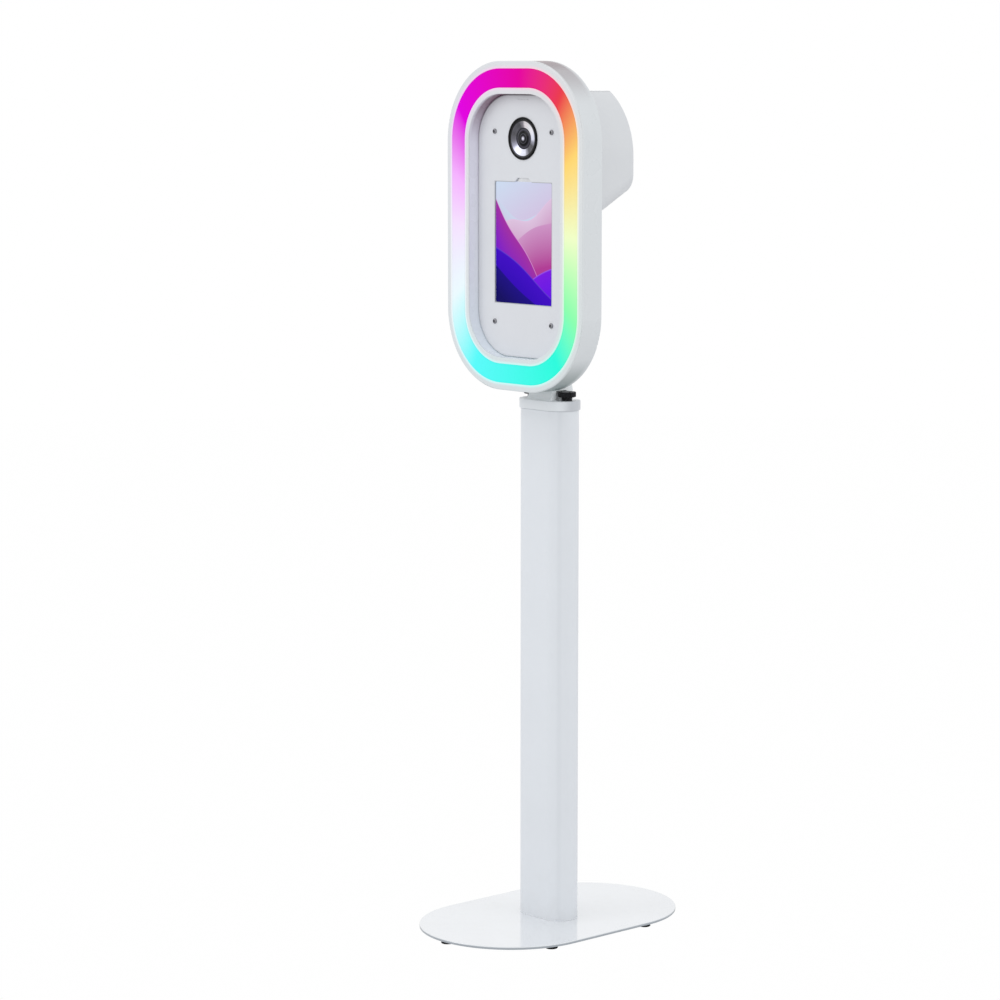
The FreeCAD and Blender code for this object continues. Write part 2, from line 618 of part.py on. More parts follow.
def add_head_shell():
    shell = head_slab(0, FRONT_Y, BACK_Y)
    rear_rim = edges_at(shell, lambda p: p.y > BACK_Y - 0.01)
    front_rim = edges_at(shell, lambda p: p.y < FRONT_Y + 0.01)
    shell = shell.makeFillet(HEAD_REAR_ROUND, rear_rim)
    front_rim = edges_at(shell, lambda p: p.y < FRONT_Y + 0.01)
    shell = shell.makeFillet(HEAD_FRONT_ROUND, front_rim)
    shell = shell.cut(head_slab(HEAD_WALL, FRONT_Y + HEAD_WALL, BACK_WALL_Y))
    shell = shell.cut(head_slab(OUTER_BEZEL, FRONT_Y - 1, FRONT_Y + HEAD_WALL + 1))
    wall_y = BACK_WALL_Y - 1
    deep = HEAD_WALL + 2
    shell = shell.cut(rod((0, wall_y, LENS_Z), (0, 1, 0), deep, PORT_RADIUS + 6))
    for x, z in bracket_screw_places():
        shell = shell.cut(rod((x, wall_y, z), (0, 1, 0), deep, 3.0 + FIT_GAP))
    for x, z in housing_screw_places():
        shell = shell.cut(rod((x, wall_y, z), (0, 1, 0), deep, HOUSING_SCREW_RADIUS + FIT_GAP))
    for x, z in shelf_screw_places():
        shell = shell.cut(rod((x, wall_y, z), (0, 1, 0), deep, SHELF_SCREW_RADIUS + FIT_GAP))
    for index in range(VENT_COUNT):
        x = (index - (VENT_COUNT - 1) / 2) * VENT_PITCH
        slot = slab_xz(VENT_WIDTH / 2, VENT_LENGTH / 2, VENT_WIDTH / 2, HEAD_MIDDLE + VENT_RISE,
                       wall_y, BACK_Y + 1)
        shell = shell.cut(slot.translated(Vector(x, 0, 0)))
    parts["head_shell"] = shell


def add_inner_frame():
    inner = RING_WIDTH
    wall_out = inner - HEAD_WALL
    frame = fused([
        head_ring(OUTER_BEZEL + LED_BAND, inner, FRONT_Y, FRONT_Y + HEAD_WALL),
        head_ring(wall_out, inner, FRONT_Y, BACK_WALL_Y),
        head_ring(wall_out, inner + LEDGE_WIDTH, PANEL_BACK_Y, PANEL_BACK_Y + LEDGE_THICK),
        head_ring(inner - LEDGE_WIDTH - HEAD_WALL, inner, BACK_WALL_Y - LEDGE_THICK, BACK_WALL_Y),
    ])
    screws = []
    for x, z, _turn in points_round_head(inner - HEAD_WALL - LEDGE_WIDTH / 2, FRAME_SCREW_COUNT):
        foot_y = BACK_WALL_Y - LEDGE_THICK
        frame = frame.cut(rod((x, foot_y - 1, z), (0, 1, 0), LEDGE_THICK + 2, FRAME_SCREW_RADIUS + FIT_GAP))
        head = rod((x, foot_y - 1.6, z), (0, 1, 0), 1.6, 2.8)
        shank = rod((x, foot_y - 1, z), (0, 1, 0), LEDGE_THICK + 3, FRAME_SCREW_RADIUS)
        screws.append(head.fuse(shank).removeSplitter())
        hole = rod((x, BACK_WALL_Y - 1, z), (0, 1, 0), HEAD_WALL + 2, FRAME_SCREW_RADIUS + FIT_GAP)
        parts["head_shell"] = parts["head_shell"].cut(hole)
    parts["inner_frame"] = frame
    parts["frame_screws"] = Part.makeCompound(screws)


def add_light():
    band_out = OUTER_BEZEL
    band_in = OUTER_BEZEL + LED_BAND
    lip_y = FRONT_Y + HEAD_WALL + BODY_GAP
    face = head_ring(band_out + BODY_GAP, band_in - BODY_GAP, FRONT_Y + BODY_GAP, lip_y)
    lip = head_ring(band_out - DIFFUSER_LIP, band_in + DIFFUSER_LIP, lip_y, lip_y + DIFFUSER_LIP_THICK)
    parts["led_diffuser"] = face.fuse(lip).removeSplitter()
    middle = OUTER_BEZEL + LED_BAND / 2
    board_y = BACK_WALL_Y - BOARD_THICK
    half = BOARD_WIDTH / 2
    parts["led_board"] = head_ring(middle - half, middle + half, board_y, BACK_WALL_Y)
    chips = []
    for x, z, turn in points_round_head(middle, LED_COUNT):
        half_chip = LED_SIZE / 2
        chip = box(-half_chip, half_chip, board_y - LED_HEIGHT, board_y, -half_chip, half_chip)
        chip.rotate(Vector(0, 0, 0), Vector(0, -1, 0), turn)
        chips.append(chip.translated(Vector(x, 0, z)))
    parts["led_chips"] = Part.makeCompound(chips)


def add_front_panel():
    inset = RING_WIDTH + PANEL_GAP
    panel = head_slab(inset, PANEL_FRONT_Y, PANEL_BACK_Y)
    low = PANEL_FRONT_Y - 1
    deep = PANEL_THICK + 2
    window = slab_xz(WINDOW_WIDTH / 2, WINDOW_HEIGHT / 2, WINDOW_CORNER, WINDOW_Z, low, low + deep)
    top = WINDOW_Z + WINDOW_HEIGHT / 2
    outline = [(-NOTCH_BASE / 2, top - 1), (NOTCH_BASE / 2, top - 1), (NOTCH_BASE / 2, top),
               (NOTCH_TOP / 2, top + NOTCH_HEIGHT), (-NOTCH_TOP / 2, top + NOTCH_HEIGHT),
               (-NOTCH_BASE / 2, top)]
    corners = [Vector(x, low, z) for x, z in outline]
    notch = Part.Face(Part.makePolygon(corners + corners[:1])).extrude(Vector(0, deep, 0))
    sleeve_radius = PORT_RADIUS - PORT_RING_WIDTH + PORT_SLEEVE_WALL
    panel = panel.cut(window).cut(notch)
    panel = panel.cut(rod((0, low, LENS_Z), (0, 1, 0), deep, sleeve_radius + FIT_GAP))
    screws = []
    posts = []
    for x, z in post_places():
        panel = panel.cut(rod((x, low, z), (0, 1, 0), deep, PANEL_SCREW_RADIUS + FIT_GAP))
        dome_top = PANEL_FRONT_Y - PANEL_SCREW_HEAD_HEIGHT
        head = rod((x, dome_top, z), (0, 1, 0), PANEL_SCREW_HEAD_HEIGHT, PANEL_SCREW_HEAD_RADIUS)
        crown = edges_at(head, lambda p: p.y < dome_top + 0.01)
        head = head.makeFillet(PANEL_SCREW_HEAD_HEIGHT * 0.8, crown[:1])
        shank = rod((x, PANEL_FRONT_Y - 1, z), (0, 1, 0), 13, PANEL_SCREW_RADIUS)
        screws.append(head.fuse(shank).removeSplitter())
        post = rod((x, PANEL_BACK_Y, z), (0, 1, 0), BACK_WALL_Y - PANEL_BACK_Y, STANDOFF_RADIUS)
        posts.append(post.cut(rod((x, low, z), (0, 1, 0), 16, PANEL_SCREW_RADIUS + FIT_GAP)))
    for index in range(MIC_HOLE_COUNT):
        x = (index - (MIC_HOLE_COUNT - 1) / 2) * MIC_HOLE_SPACING
        z = HEAD_MIDDLE + MIC_HOLE_RISE
        panel = panel.cut(rod((x, low, z), (0, 1, 0), deep, MIC_HOLE_RADIUS))
    parts["front_panel"] = panel
    parts["panel_screws"] = Part.makeCompound(screws)
    parts["panel_standoffs"] = Part.makeCompound(posts)


def add_lens_port():
    inner = PORT_RADIUS - PORT_RING_WIDTH
    sleeve = inner + PORT_SLEEVE_WALL
    front = PANEL_FRONT_Y - PORT_PROUD
    cone_front = front + 1.0
    cone_back = cone_front + PORT_CONE_DEPTH
    sleeve_back = cone_back + 1.0
    ring = [(inner, front), (PORT_RADIUS - 1, front), (PORT_RADIUS, front + 1),
            (PORT_RADIUS, PANEL_FRONT_Y), (sleeve, PANEL_FRONT_Y), (sleeve, sleeve_back), (inner, sleeve_back)]
    parts["lens_port_ring"] = turned_about_y(ring, LENS_Z)
    rim = inner - FIT_GAP
    cone = [(rim, cone_front), (PORT_THROAT_RADIUS, cone_back), (PORT_THROAT_RADIUS, sleeve_back),
            (rim, sleeve_back)]
    parts["lens_port_cone"] = turned_about_y(cone, LENS_Z)
    glass_radius = PORT_THROAT_RADIUS + 4
    dome_radius = PORT_THROAT_RADIUS - FIT_GAP
    glass = [(0, sleeve_back + PORT_GLASS_THICK)]
    for step in range(PORT_DOME_STEPS + 1):
        reach = dome_radius * step / PORT_DOME_STEPS
        glass.append((reach, sleeve_back - PORT_DOME_RISE * (1 - (reach / dome_radius)**2)))
    glass += [(glass_radius, sleeve_back), (glass_radius, sleeve_back + PORT_GLASS_THICK)]
    parts["port_glass"] = turned_about_y(glass, LENS_Z)


# ---- Tablet ----
def add_tablet():
    screen_y = PANEL_BACK_Y + BODY_GAP
    body_y = screen_y
    back_y = body_y + TABLET_THICK
    half_x = TABLET_WIDTH / 2
    half_z = TABLET_HEIGHT / 2
    tablet = slab_xz(half_x, half_z, TABLET_CORNER, WINDOW_Z, body_y, back_y)
    rim = edges_at(tablet, lambda p: p.y > back_y - 0.01)
    tablet = tablet.makeFillet(1.5, rim)
    screen_half = (SCREEN_WIDTH / 2, SCREEN_HEIGHT / 2)
    pocket = slab_xz(screen_half[0] + FIT_GAP, screen_half[1] + FIT_GAP, 4, WINDOW_Z,
                     body_y - 1, body_y + SCREEN_THICK)
    tablet = tablet.cut(pocket)
    parts["tablet_screen"] = slab_xz(*screen_half, 4, WINDOW_Z, screen_y, screen_y + SCREEN_THICK)
    top = WINDOW_Z + half_z
    key_y = body_y + TABLET_THICK / 2
    half_key = TABLET_KEY_LENGTH / 2
    half_width = TABLET_KEY_WIDTH / 2
    gap = RUNNING_GAP
    floor = TABLET_KEY_DEPTH + TABLET_KEY_TRAVEL + FIT_GAP
    key = box(TABLET_KEY_X - half_key, TABLET_KEY_X + half_key, key_y - half_width, key_y + half_width,
              top - TABLET_KEY_DEPTH, top + TABLET_KEY_PROUD)
    slot = box(TABLET_KEY_X - half_key - gap, TABLET_KEY_X + half_key + gap,
               key_y - half_width - gap, key_y + half_width + gap, top - floor, top + 1)
    parts["tablet_power_key"] = key
    volume_z = WINDOW_Z + half_z - 42
    volume = box(half_x - TABLET_KEY_DEPTH, half_x + TABLET_KEY_PROUD, key_y - half_width,
                 key_y + half_width, volume_z - TABLET_KEY_LENGTH, volume_z + TABLET_KEY_LENGTH)
    volume_slot = box(half_x - floor, half_x + 1, key_y - half_width - gap, key_y + half_width + gap,
                      volume_z - TABLET_KEY_LENGTH - gap, volume_z + TABLET_KEY_LENGTH + gap)
    parts["tablet_volume_key"] = volume
    parts["tablet_body"] = tablet.cut(slot).cut(volume_slot)

    lip_x = half_x + BODY_GAP
    low = WINDOW_Z - half_z - BODY_GAP
    plate_back = back_y + CRADLE_THICK
    plate_top = WINDOW_Z + half_z - 24
    plate = box(-lip_x - CRADLE_THICK, lip_x + CRADLE_THICK, back_y, plate_back, low - CRADLE_THICK, plate_top)
    shelf = box(-lip_x - CRADLE_THICK, lip_x + CRADLE_THICK, body_y + 1, plate_back, low - CRADLE_THICK, low)
    lip_low = WINDOW_Z - CRADLE_LIP_LENGTH
    lips = box(lip_x, lip_x + CRADLE_THICK, body_y + 1, plate_back, lip_low, lip_low + CRADLE_LIP_LENGTH)
    cradle = fused([plate, shelf, lips, mirrored_x(lips)])
    posts = []
    for side_x in (-1, 1):
        for side_z in (-1, 1):
            x = side_x * CRADLE_POST_SPACING_X / 2
            z = WINDOW_Z + side_z * CRADLE_POST_SPACING_Z / 2
            posts.append(rod((x, plate_back, z), (0, 1, 0), BACK_WALL_Y - plate_back, CRADLE_POST_RADIUS))
    parts["tablet_cradle"] = cradle
    parts["cradle_posts"] = Part.makeCompound(posts)


# ---- Camera housing, door and latch ----
def housing_block(inset, y_low, y_high):
    """The housing's outline moved inwards by inset, before its sloping bottom is cut."""
    radius = HOUSING_RADIUS - inset
    top = HOUSING_FLAT_TOP - inset
    bottom = HEAD_MIDDLE + HOUSING_BOTTOM_FRONT
    half = math.sqrt(radius**2 - top**2)

    def place(x, z):
        return Vector(x, y_low, z)

    shoulder = math.radians(45)
    arc_x = radius * math.cos(shoulder / 2)
    arc_z = HOUSING_Z + radius * math.sin(shoulder / 2)
    edges = [
        Part.LineSegment(place(-half, HOUSING_Z + top), place(half, HOUSING_Z + top)).toShape(),
        Part.Arc(place(half, HOUSING_Z + top), place(arc_x, arc_z), place(radius, HOUSING_Z)).toShape(),
        Part.LineSegment(place(radius, HOUSING_Z), place(radius, bottom)).toShape(),
        Part.LineSegment(place(radius, bottom), place(-radius, bottom)).toShape(),
        Part.LineSegment(place(-radius, bottom), place(-radius, HOUSING_Z)).toShape(),
        Part.Arc(place(-radius, HOUSING_Z), place(-arc_x, arc_z), place(-half, HOUSING_Z + top)).toShape(),
    ]
    block = Part.Face(Part.Wire(edges)).extrude(Vector(0, y_high - y_low, 0))
    slope = math.tan(math.radians(HOUSING_SLOPE_DEG))
    lift = inset / math.cos(math.radians(HOUSING_SLOPE_DEG))
    front_z = bottom + lift + slope * (y_low - BACK_Y)
    rear_z = front_z + slope * (y_high - y_low)
    below = bottom - 50
    wedge = extruded_yz([(y_low, below), (y_high, below), (y_high, rear_z), (y_low, front_z)],
                        -HOUSING_RADIUS - 5, HOUSING_RADIUS + 5)
    block = block.cut(wedge)

    def on_lower_side(edge):
        ends = [vertex.Point for vertex in edge.Vertexes]
        if len(ends) != 2:
            return False
        along_y = abs(ends[0].y - ends[1].y) > (y_high - y_low) * 0.9
        return along_y and all(abs(abs(p.x) - radius) < 0.01 and p.z < rear_z + 1 for p in ends)

    corners = [edge for edge in block.Edges if on_lower_side(edge)]
    return block.makeFillet(HOUSING_CORNER - inset, corners)


def door_middle():
    return HOUSING_Z + (DOOR_LOW + DOOR_HIGH) / 2


def hinge_axis():
    return (-DOOR_HALF_WIDTH - HINGE_OFFSET + HINGE_KNUCKLE_RADIUS, HOUSING_REAR + HINGE_KNUCKLE_RADIUS + BODY_GAP)


def add_housing():
    housing = housing_block(0, BACK_Y, HOUSING_REAR)
    rear_rim = [edge for edge in housing.Edges
                if all(vertex.Point.y > HOUSING_REAR - 0.01 for vertex in edge.Vertexes)]
    housing = housing.makeFillet(HOUSING_REAR_ROUND, rear_rim)
    hollow = housing_block(HOUSING_WALL, BACK_Y - 1, HOUSING_INNER_Y)
    front_slice = box(-HOUSING_RADIUS, HOUSING_RADIUS, BACK_Y, BACK_Y + HOUSING_WALL, 0, 3000)
    flange = housing_block(HOUSING_WALL / 2, BACK_Y, HOUSING_INNER_Y).common(front_slice)
    inner_half_z = (HOUSING_FLAT_TOP + HOUSING_RISE - HOUSING_BOTTOM_FRONT) / 2 - FLANGE_WIDTH
    middle_z = HOUSING_Z + HOUSING_FLAT_TOP - inner_half_z - FLANGE_WIDTH
    flange_hole = slab_xz(HOUSING_RADIUS - FLANGE_WIDTH - 4, inner_half_z, 84, middle_z, BACK_Y - 1,
                          BACK_Y + HOUSING_WALL + 1)
    housing = housing.cut(hollow).fuse(flange.cut(flange_hole)).removeSplitter()
    opening_half = DOOR_HALF_WIDTH - DOOR_OVERLAP
    opening_half_z = (DOOR_HIGH - DOOR_LOW) / 2 - DOOR_OVERLAP
    housing = housing.cut(slab_xz(opening_half, opening_half_z, DOOR_CORNER, door_middle(),
                                  HOUSING_INNER_Y - 1, HOUSING_REAR + 1))
    screws = []
    for x, z in housing_screw_places():
        housing = housing.cut(rod((x, BACK_Y - 1, z), (0, 1, 0), HOUSING_WALL + 2,
                                  HOUSING_SCREW_RADIUS + FIT_GAP))
        head = rod((x, BACK_Y + HOUSING_WALL, z), (0, 1, 0), 2, HOUSING_SCREW_RADIUS * 2)
        shank = rod((x, BACK_WALL_Y + FIT_GAP, z), (0, 1, 0), HEAD_WALL + HOUSING_WALL + 1,
                    HOUSING_SCREW_RADIUS)
        screws.append(head.fuse(shank).removeSplitter())
    inlet_z = HEAD_MIDDLE + INLET_RISE
    half_l = INLET_LENGTH / 2 - INLET_WALL
    half_w = INLET_WIDTH / 2 - INLET_WALL
    wall_x = -HOUSING_RADIUS
    housing = housing.cut(box(wall_x - 1, wall_x + HOUSING_WALL + 1, INLET_Y - half_w, INLET_Y + half_w,
                              inlet_z - half_l, inlet_z + half_l))
    parts["camera_housing"] = housing
    parts["housing_screws"] = Part.makeCompound(screws)


def add_door():
    half_z = (DOOR_HIGH - DOOR_LOW) / 2
    middle = door_middle()
    front = HOUSING_REAR + BODY_GAP
    axis_x, axis_y = hinge_axis()
    plate = slab_xz(DOOR_HALF_WIDTH, half_z, DOOR_CORNER, middle, front, front + DOOR_THICK)
    clear = box(-DOOR_HALF_WIDTH - 1, axis_x + HINGE_KNUCKLE_RADIUS + BODY_GAP, front - 1,
                front + DOOR_THICK + 1, middle - half_z - 1, middle + half_z + 1)
    plate = plate.cut(clear)
    half_knuckle = HINGE_KNUCKLE_LENGTH / 2
    knuckle = rod((axis_x, axis_y, middle - half_knuckle), (0, 0, 1), HINGE_KNUCKLE_LENGTH,
                  HINGE_KNUCKLE_RADIUS)
    tongue = box(axis_x, axis_x + HINGE_KNUCKLE_RADIUS + 2, front, front + DOOR_THICK,
                 middle - half_knuckle, middle + half_knuckle)
    door = fused([plate, knuckle, tongue])
    pin_hole = rod((axis_x, axis_y, 0), (0, 0, 1), 3000, HINGE_PIN_RADIUS + RUNNING_GAP)
    latch_x = DOOR_HALF_WIDTH - LATCH_INSET
    shaft_hole = rod((latch_x, front - 1, middle), (0, 1, 0), DOOR_THICK + 2,
                     LATCH_SHAFT_RADIUS + RUNNING_GAP)
    parts["rear_door"] = door.cut(pin_hole).cut(shaft_hole)

    pieces = []
    for side in (-1, 1):
        start = half_knuckle + BODY_GAP
        low = middle + start if side > 0 else middle - start - HINGE_KNUCKLE_LENGTH
        high = low + HINGE_KNUCKLE_LENGTH
        barrel = rod((axis_x, axis_y, low), (0, 0, 1), HINGE_KNUCKLE_LENGTH, HINGE_KNUCKLE_RADIUS)
        leaf = box(axis_x - 16, axis_x, HOUSING_REAR, HOUSING_REAR + HINGE_LEAF_THICK, low, high)
        piece = barrel.fuse(leaf).removeSplitter()
        piece = piece.cut(rod((axis_x, axis_y, low - 1), (0, 0, 1), HINGE_KNUCKLE_LENGTH + 2,
                              HINGE_PIN_RADIUS + FIT_GAP / 2))
        pieces.append(piece)
    parts["door_hinge_leaves"] = Part.makeCompound(pieces)
    pin_length = 3 * HINGE_KNUCKLE_LENGTH + 2
    pin = rod((axis_x, axis_y, middle - pin_length / 2), (0, 0, 1), pin_length, HINGE_PIN_RADIUS)
    parts["door_hinge_pin"] = pin

    knob_y = front + DOOR_THICK + BODY_GAP
    cam_back = HOUSING_INNER_Y - BODY_GAP
    knob = rod((latch_x, knob_y, middle), (0, 1, 0), LATCH_KNOB_HEIGHT, LATCH_KNOB_RADIUS)
    crown = edges_at(knob, lambda p: p.y > knob_y + LATCH_KNOB_HEIGHT - 0.01)
    knob = knob.makeFillet(1.5, crown[:1])
    bar = box(latch_x - 2, latch_x + 2, knob_y + 4, knob_y + LATCH_KNOB_HEIGHT + 5,
              middle - LATCH_KNOB_RADIUS + 1, middle + LATCH_KNOB_RADIUS - 1)
    shaft = rod((latch_x, cam_back - LATCH_CAM_THICK, middle), (0, 1, 0),
                knob_y + 1 - cam_back + LATCH_CAM_THICK, LATCH_SHAFT_RADIUS)
    half_cam = LATCH_CAM_WIDTH / 2
    cam = box(latch_x - half_cam, latch_x + half_cam, cam_back - LATCH_CAM_THICK, cam_back,
              middle - half_cam, middle + LATCH_CAM_LENGTH)
    parts["door_latch"] = fused([knob, bar, shaft, cam])


# ---- Camera and its shelf ----
def shelf_screw_places():
    top = SHELF_BOTTOM - 12
    half_x = SHELF_SCREW_SPACING_X / 2
    return [(side * half_x, level) for side in (-1, 1) for level in (top, top - SHELF_SCREW_SPACING_Z)]


def add_shelf():
    half = SHELF_WIDTH / 2
    back = BACK_Y + SHELF_THICK
    plate_end = CAMERA_FRONT + CAMERA_DEPTH - 4
    plate = box(-half, half, BACK_Y, plate_end, SHELF_BOTTOM, CAMERA_BOTTOM)
    flange = box(-half, half, BACK_Y, back, SHELF_BOTTOM - SHELF_FLANGE, CAMERA_BOTTOM)
    shelf = plate.fuse(flange).removeSplitter()
    port = rod((0, BACK_Y - 1, LENS_Z), (0, 1, 0), 4, PORT_RADIUS + 6)
    shelf = shelf.cut(port)
    screws = []
    for x, z in shelf_screw_places():
        shelf = shelf.cut(rod((x, BACK_Y - 1, z), (0, 1, 0), SHELF_THICK + 2, SHELF_SCREW_RADIUS + FIT_GAP))
        head = rod((x, back, z), (0, 1, 0), 3, SHELF_SCREW_RADIUS * 1.9)
        shank = rod((x, BACK_WALL_Y - 4, z), (0, 1, 0), HEAD_WALL + SHELF_THICK + 5, SHELF_SCREW_RADIUS)
        screws.append(head.fuse(shank).removeSplitter())
    tripod_y = CAMERA_FRONT + CAMERA_DEPTH / 2
    shelf = shelf.cut(rod((0, tripod_y, SHELF_BOTTOM - 1), (0, 0, 1), SHELF_THICK + 2,
                          TRIPOD_SCREW_RADIUS + RUNNING_GAP))
    knob_top = SHELF_BOTTOM - BODY_GAP
    knob = rod((0, tripod_y, knob_top - TRIPOD_KNOB_HEIGHT), (0, 0, 1), TRIPOD_KNOB_HEIGHT,
               TRIPOD_KNOB_RADIUS)
    shank = rod((0, tripod_y, knob_top - 1), (0, 0, 1), SHELF_THICK + 8, TRIPOD_SCREW_RADIUS)
    parts["camera_shelf"] = shelf
    parts["shelf_screws"] = Part.makeCompound(screws)
    parts["camera_mount_screw"] = knob.fuse(shank).removeSplitter()


def add_camera():
    half = CAMERA_WIDTH / 2
    rear = CAMERA_FRONT + CAMERA_DEPTH
    top = CAMERA_BOTTOM + CAMERA_HEIGHT
    body = box(-half, half, CAMERA_FRONT, rear, CAMERA_BOTTOM, top)
    uprights = [edge for edge in body.Edges if abs(edge.tangentAt(edge.FirstParameter).z) > 0.9]
    body = body.makeFillet(CAMERA_ROUND, uprights)
    hump = extruded_yz([(CAMERA_FRONT + 1, top - 2), (CAMERA_FRONT + 3, top + HUMP_HEIGHT),
                        (CAMERA_FRONT + HUMP_DEPTH - 8, top + HUMP_HEIGHT),
                        (CAMERA_FRONT + HUMP_DEPTH, top - 2)], -HUMP_WIDTH / 2, HUMP_WIDTH / 2)
    grip_top = CAMERA_BOTTOM + GRIP_HEIGHT
    grip_front = CAMERA_FRONT - GRIP_REACH
    grip = box(-half, -half + GRIP_WIDTH, grip_front, CAMERA_FRONT + 9, CAMERA_BOTTOM, grip_top)
    grip_edges = [edge for edge in grip.Edges
                  if abs(edge.tangentAt(edge.FirstParameter).z) > 0.9
                  and edge.Vertexes[0].Point.y < grip_front + 1]
    grip = grip.makeFillet(CAMERA_ROUND, grip_edges)
    camera = fused([body, hump, grip])
    lens_mount = rod((0, CAMERA_FRONT, LENS_Z), (0, 1, 0), 4, LENS_RIM_RADIUS - 3)
    camera = camera.cut(lens_mount)

    button_x = -half + GRIP_WIDTH / 2
    button_y = grip_front + GRIP_WIDTH / 2 - 1
    button_low = grip_top - 3
    button = rod((button_x, button_y, button_low), (0, 0, 1), 3 + SHUTTER_PROUD, SHUTTER_RADIUS)
    pocket_low = button_low - SHUTTER_TRAVEL - BODY_GAP
    camera = camera.cut(rod((button_x, button_y, pocket_low), (0, 0, 1), 10, SHUTTER_RADIUS + RUNNING_GAP))
    parts["shutter_button"] = button

    dial_x = -half + GRIP_WIDTH
    dial_y = CAMERA_FRONT + CAMERA_DEPTH * 0.55
    dial = rod((dial_x, dial_y, top + BODY_GAP), (0, 0, 1), DIAL_HEIGHT, DIAL_RADIUS)
    axle = rod((dial_x, dial_y, top - 5), (0, 0, 1), 6, DIAL_AXLE_RADIUS)
    camera = camera.cut(rod((dial_x, dial_y, top - 6), (0, 0, 1), 8, DIAL_AXLE_RADIUS + RUNNING_GAP))
    parts["mode_dial"] = dial.fuse(axle).removeSplitter()

    tripod_y = CAMERA_FRONT + CAMERA_DEPTH / 2
    camera = camera.cut(rod((0, tripod_y, CAMERA_BOTTOM - 1), (0, 0, 1), 9,
                            TRIPOD_SCREW_RADIUS + RUNNING_GAP))
    parts["camera_body"] = camera
    half_w = DISPLAY_WIDTH / 2
    display_low = CAMERA_BOTTOM + 14
    parts["camera_display"] = box(-half_w, half_w, rear, rear + DISPLAY_THICK, display_low,
                                  display_low + DISPLAY_HEIGHT)


def add_lens():
    rings_length = FOCUS_RING_LENGTH + ZOOM_RING_LENGTH + 3 * RING_END_GAP
    rear_shoulder = CAMERA_FRONT - 8
    front_shoulder = rear_shoulder - rings_length
    front = front_shoulder - LENS_RIM_LENGTH
    bore = LENS_BORE_RADIUS
    barrel = [(bore, front), (LENS_RIM_RADIUS, front), (LENS_RIM_RADIUS, front_shoulder),
              (LENS_CORE_RADIUS, front_shoulder), (LENS_CORE_RADIUS, rear_shoulder),
              (LENS_RIM_RADIUS, rear_shoulder), (LENS_RIM_RADIUS, CAMERA_FRONT), (bore, CAMERA_FRONT)]
    parts["lens_barrel"] = turned_about_y(barrel, LENS_Z)
    inner = LENS_CORE_RADIUS + RUNNING_GAP

    def grip_ring(y_low, length):
        ring = [(inner, y_low), (LENS_RING_RADIUS - 1, y_low), (LENS_RING_RADIUS, y_low + 1),
                (LENS_RING_RADIUS, y_low + length - 1), (LENS_RING_RADIUS - 1, y_low + length),
                (inner, y_low + length)]
        return turned_about_y(ring, LENS_Z)

    focus_low = front_shoulder + RING_END_GAP
    zoom_low = focus_low + FOCUS_RING_LENGTH + RING_END_GAP
    parts["focus_ring"] = grip_ring(focus_low, FOCUS_RING_LENGTH)
    parts["zoom_ring"] = grip_ring(zoom_low, ZOOM_RING_LENGTH)
    glass_radius = bore - FIT_GAP
    bulge = 4.0
    sphere_radius = (glass_radius**2 + bulge**2) / (2 * bulge)
    glass_y = front + 6
    ball = Part.makeSphere(sphere_radius, Vector(0, glass_y - bulge + sphere_radius, LENS_Z))
    glass = rod((0, glass_y - bulge, LENS_Z), (0, 1, 0), bulge + 3, glass_radius).common(ball)
    parts["lens_front_glass"] = glass


# ---- Electrics ----
def add_electrics():
    low = HEAD_MIDDLE + SUPPLY_RISE
    half = SUPPLY_WIDTH / 2
    supply = box(-half, half, BACK_Y, BACK_Y + SUPPLY_DEPTH, low, low + SUPPLY_HEIGHT)
    parts["power_supply"] = supply.makeFillet(2.0, supply.Edges)
    middle = HEAD_MIDDLE + CONTROLLER_RISE
    half_x = CONTROLLER_WIDTH / 2
    half_z = CONTROLLER_HEIGHT / 2
    controller = box(-half_x, half_x, BACK_WALL_Y - CONTROLLER_DEPTH, BACK_WALL_Y,
                     middle - half_z, middle + half_z)
    parts["led_controller"] = controller.makeFillet(1.5, controller.Edges)


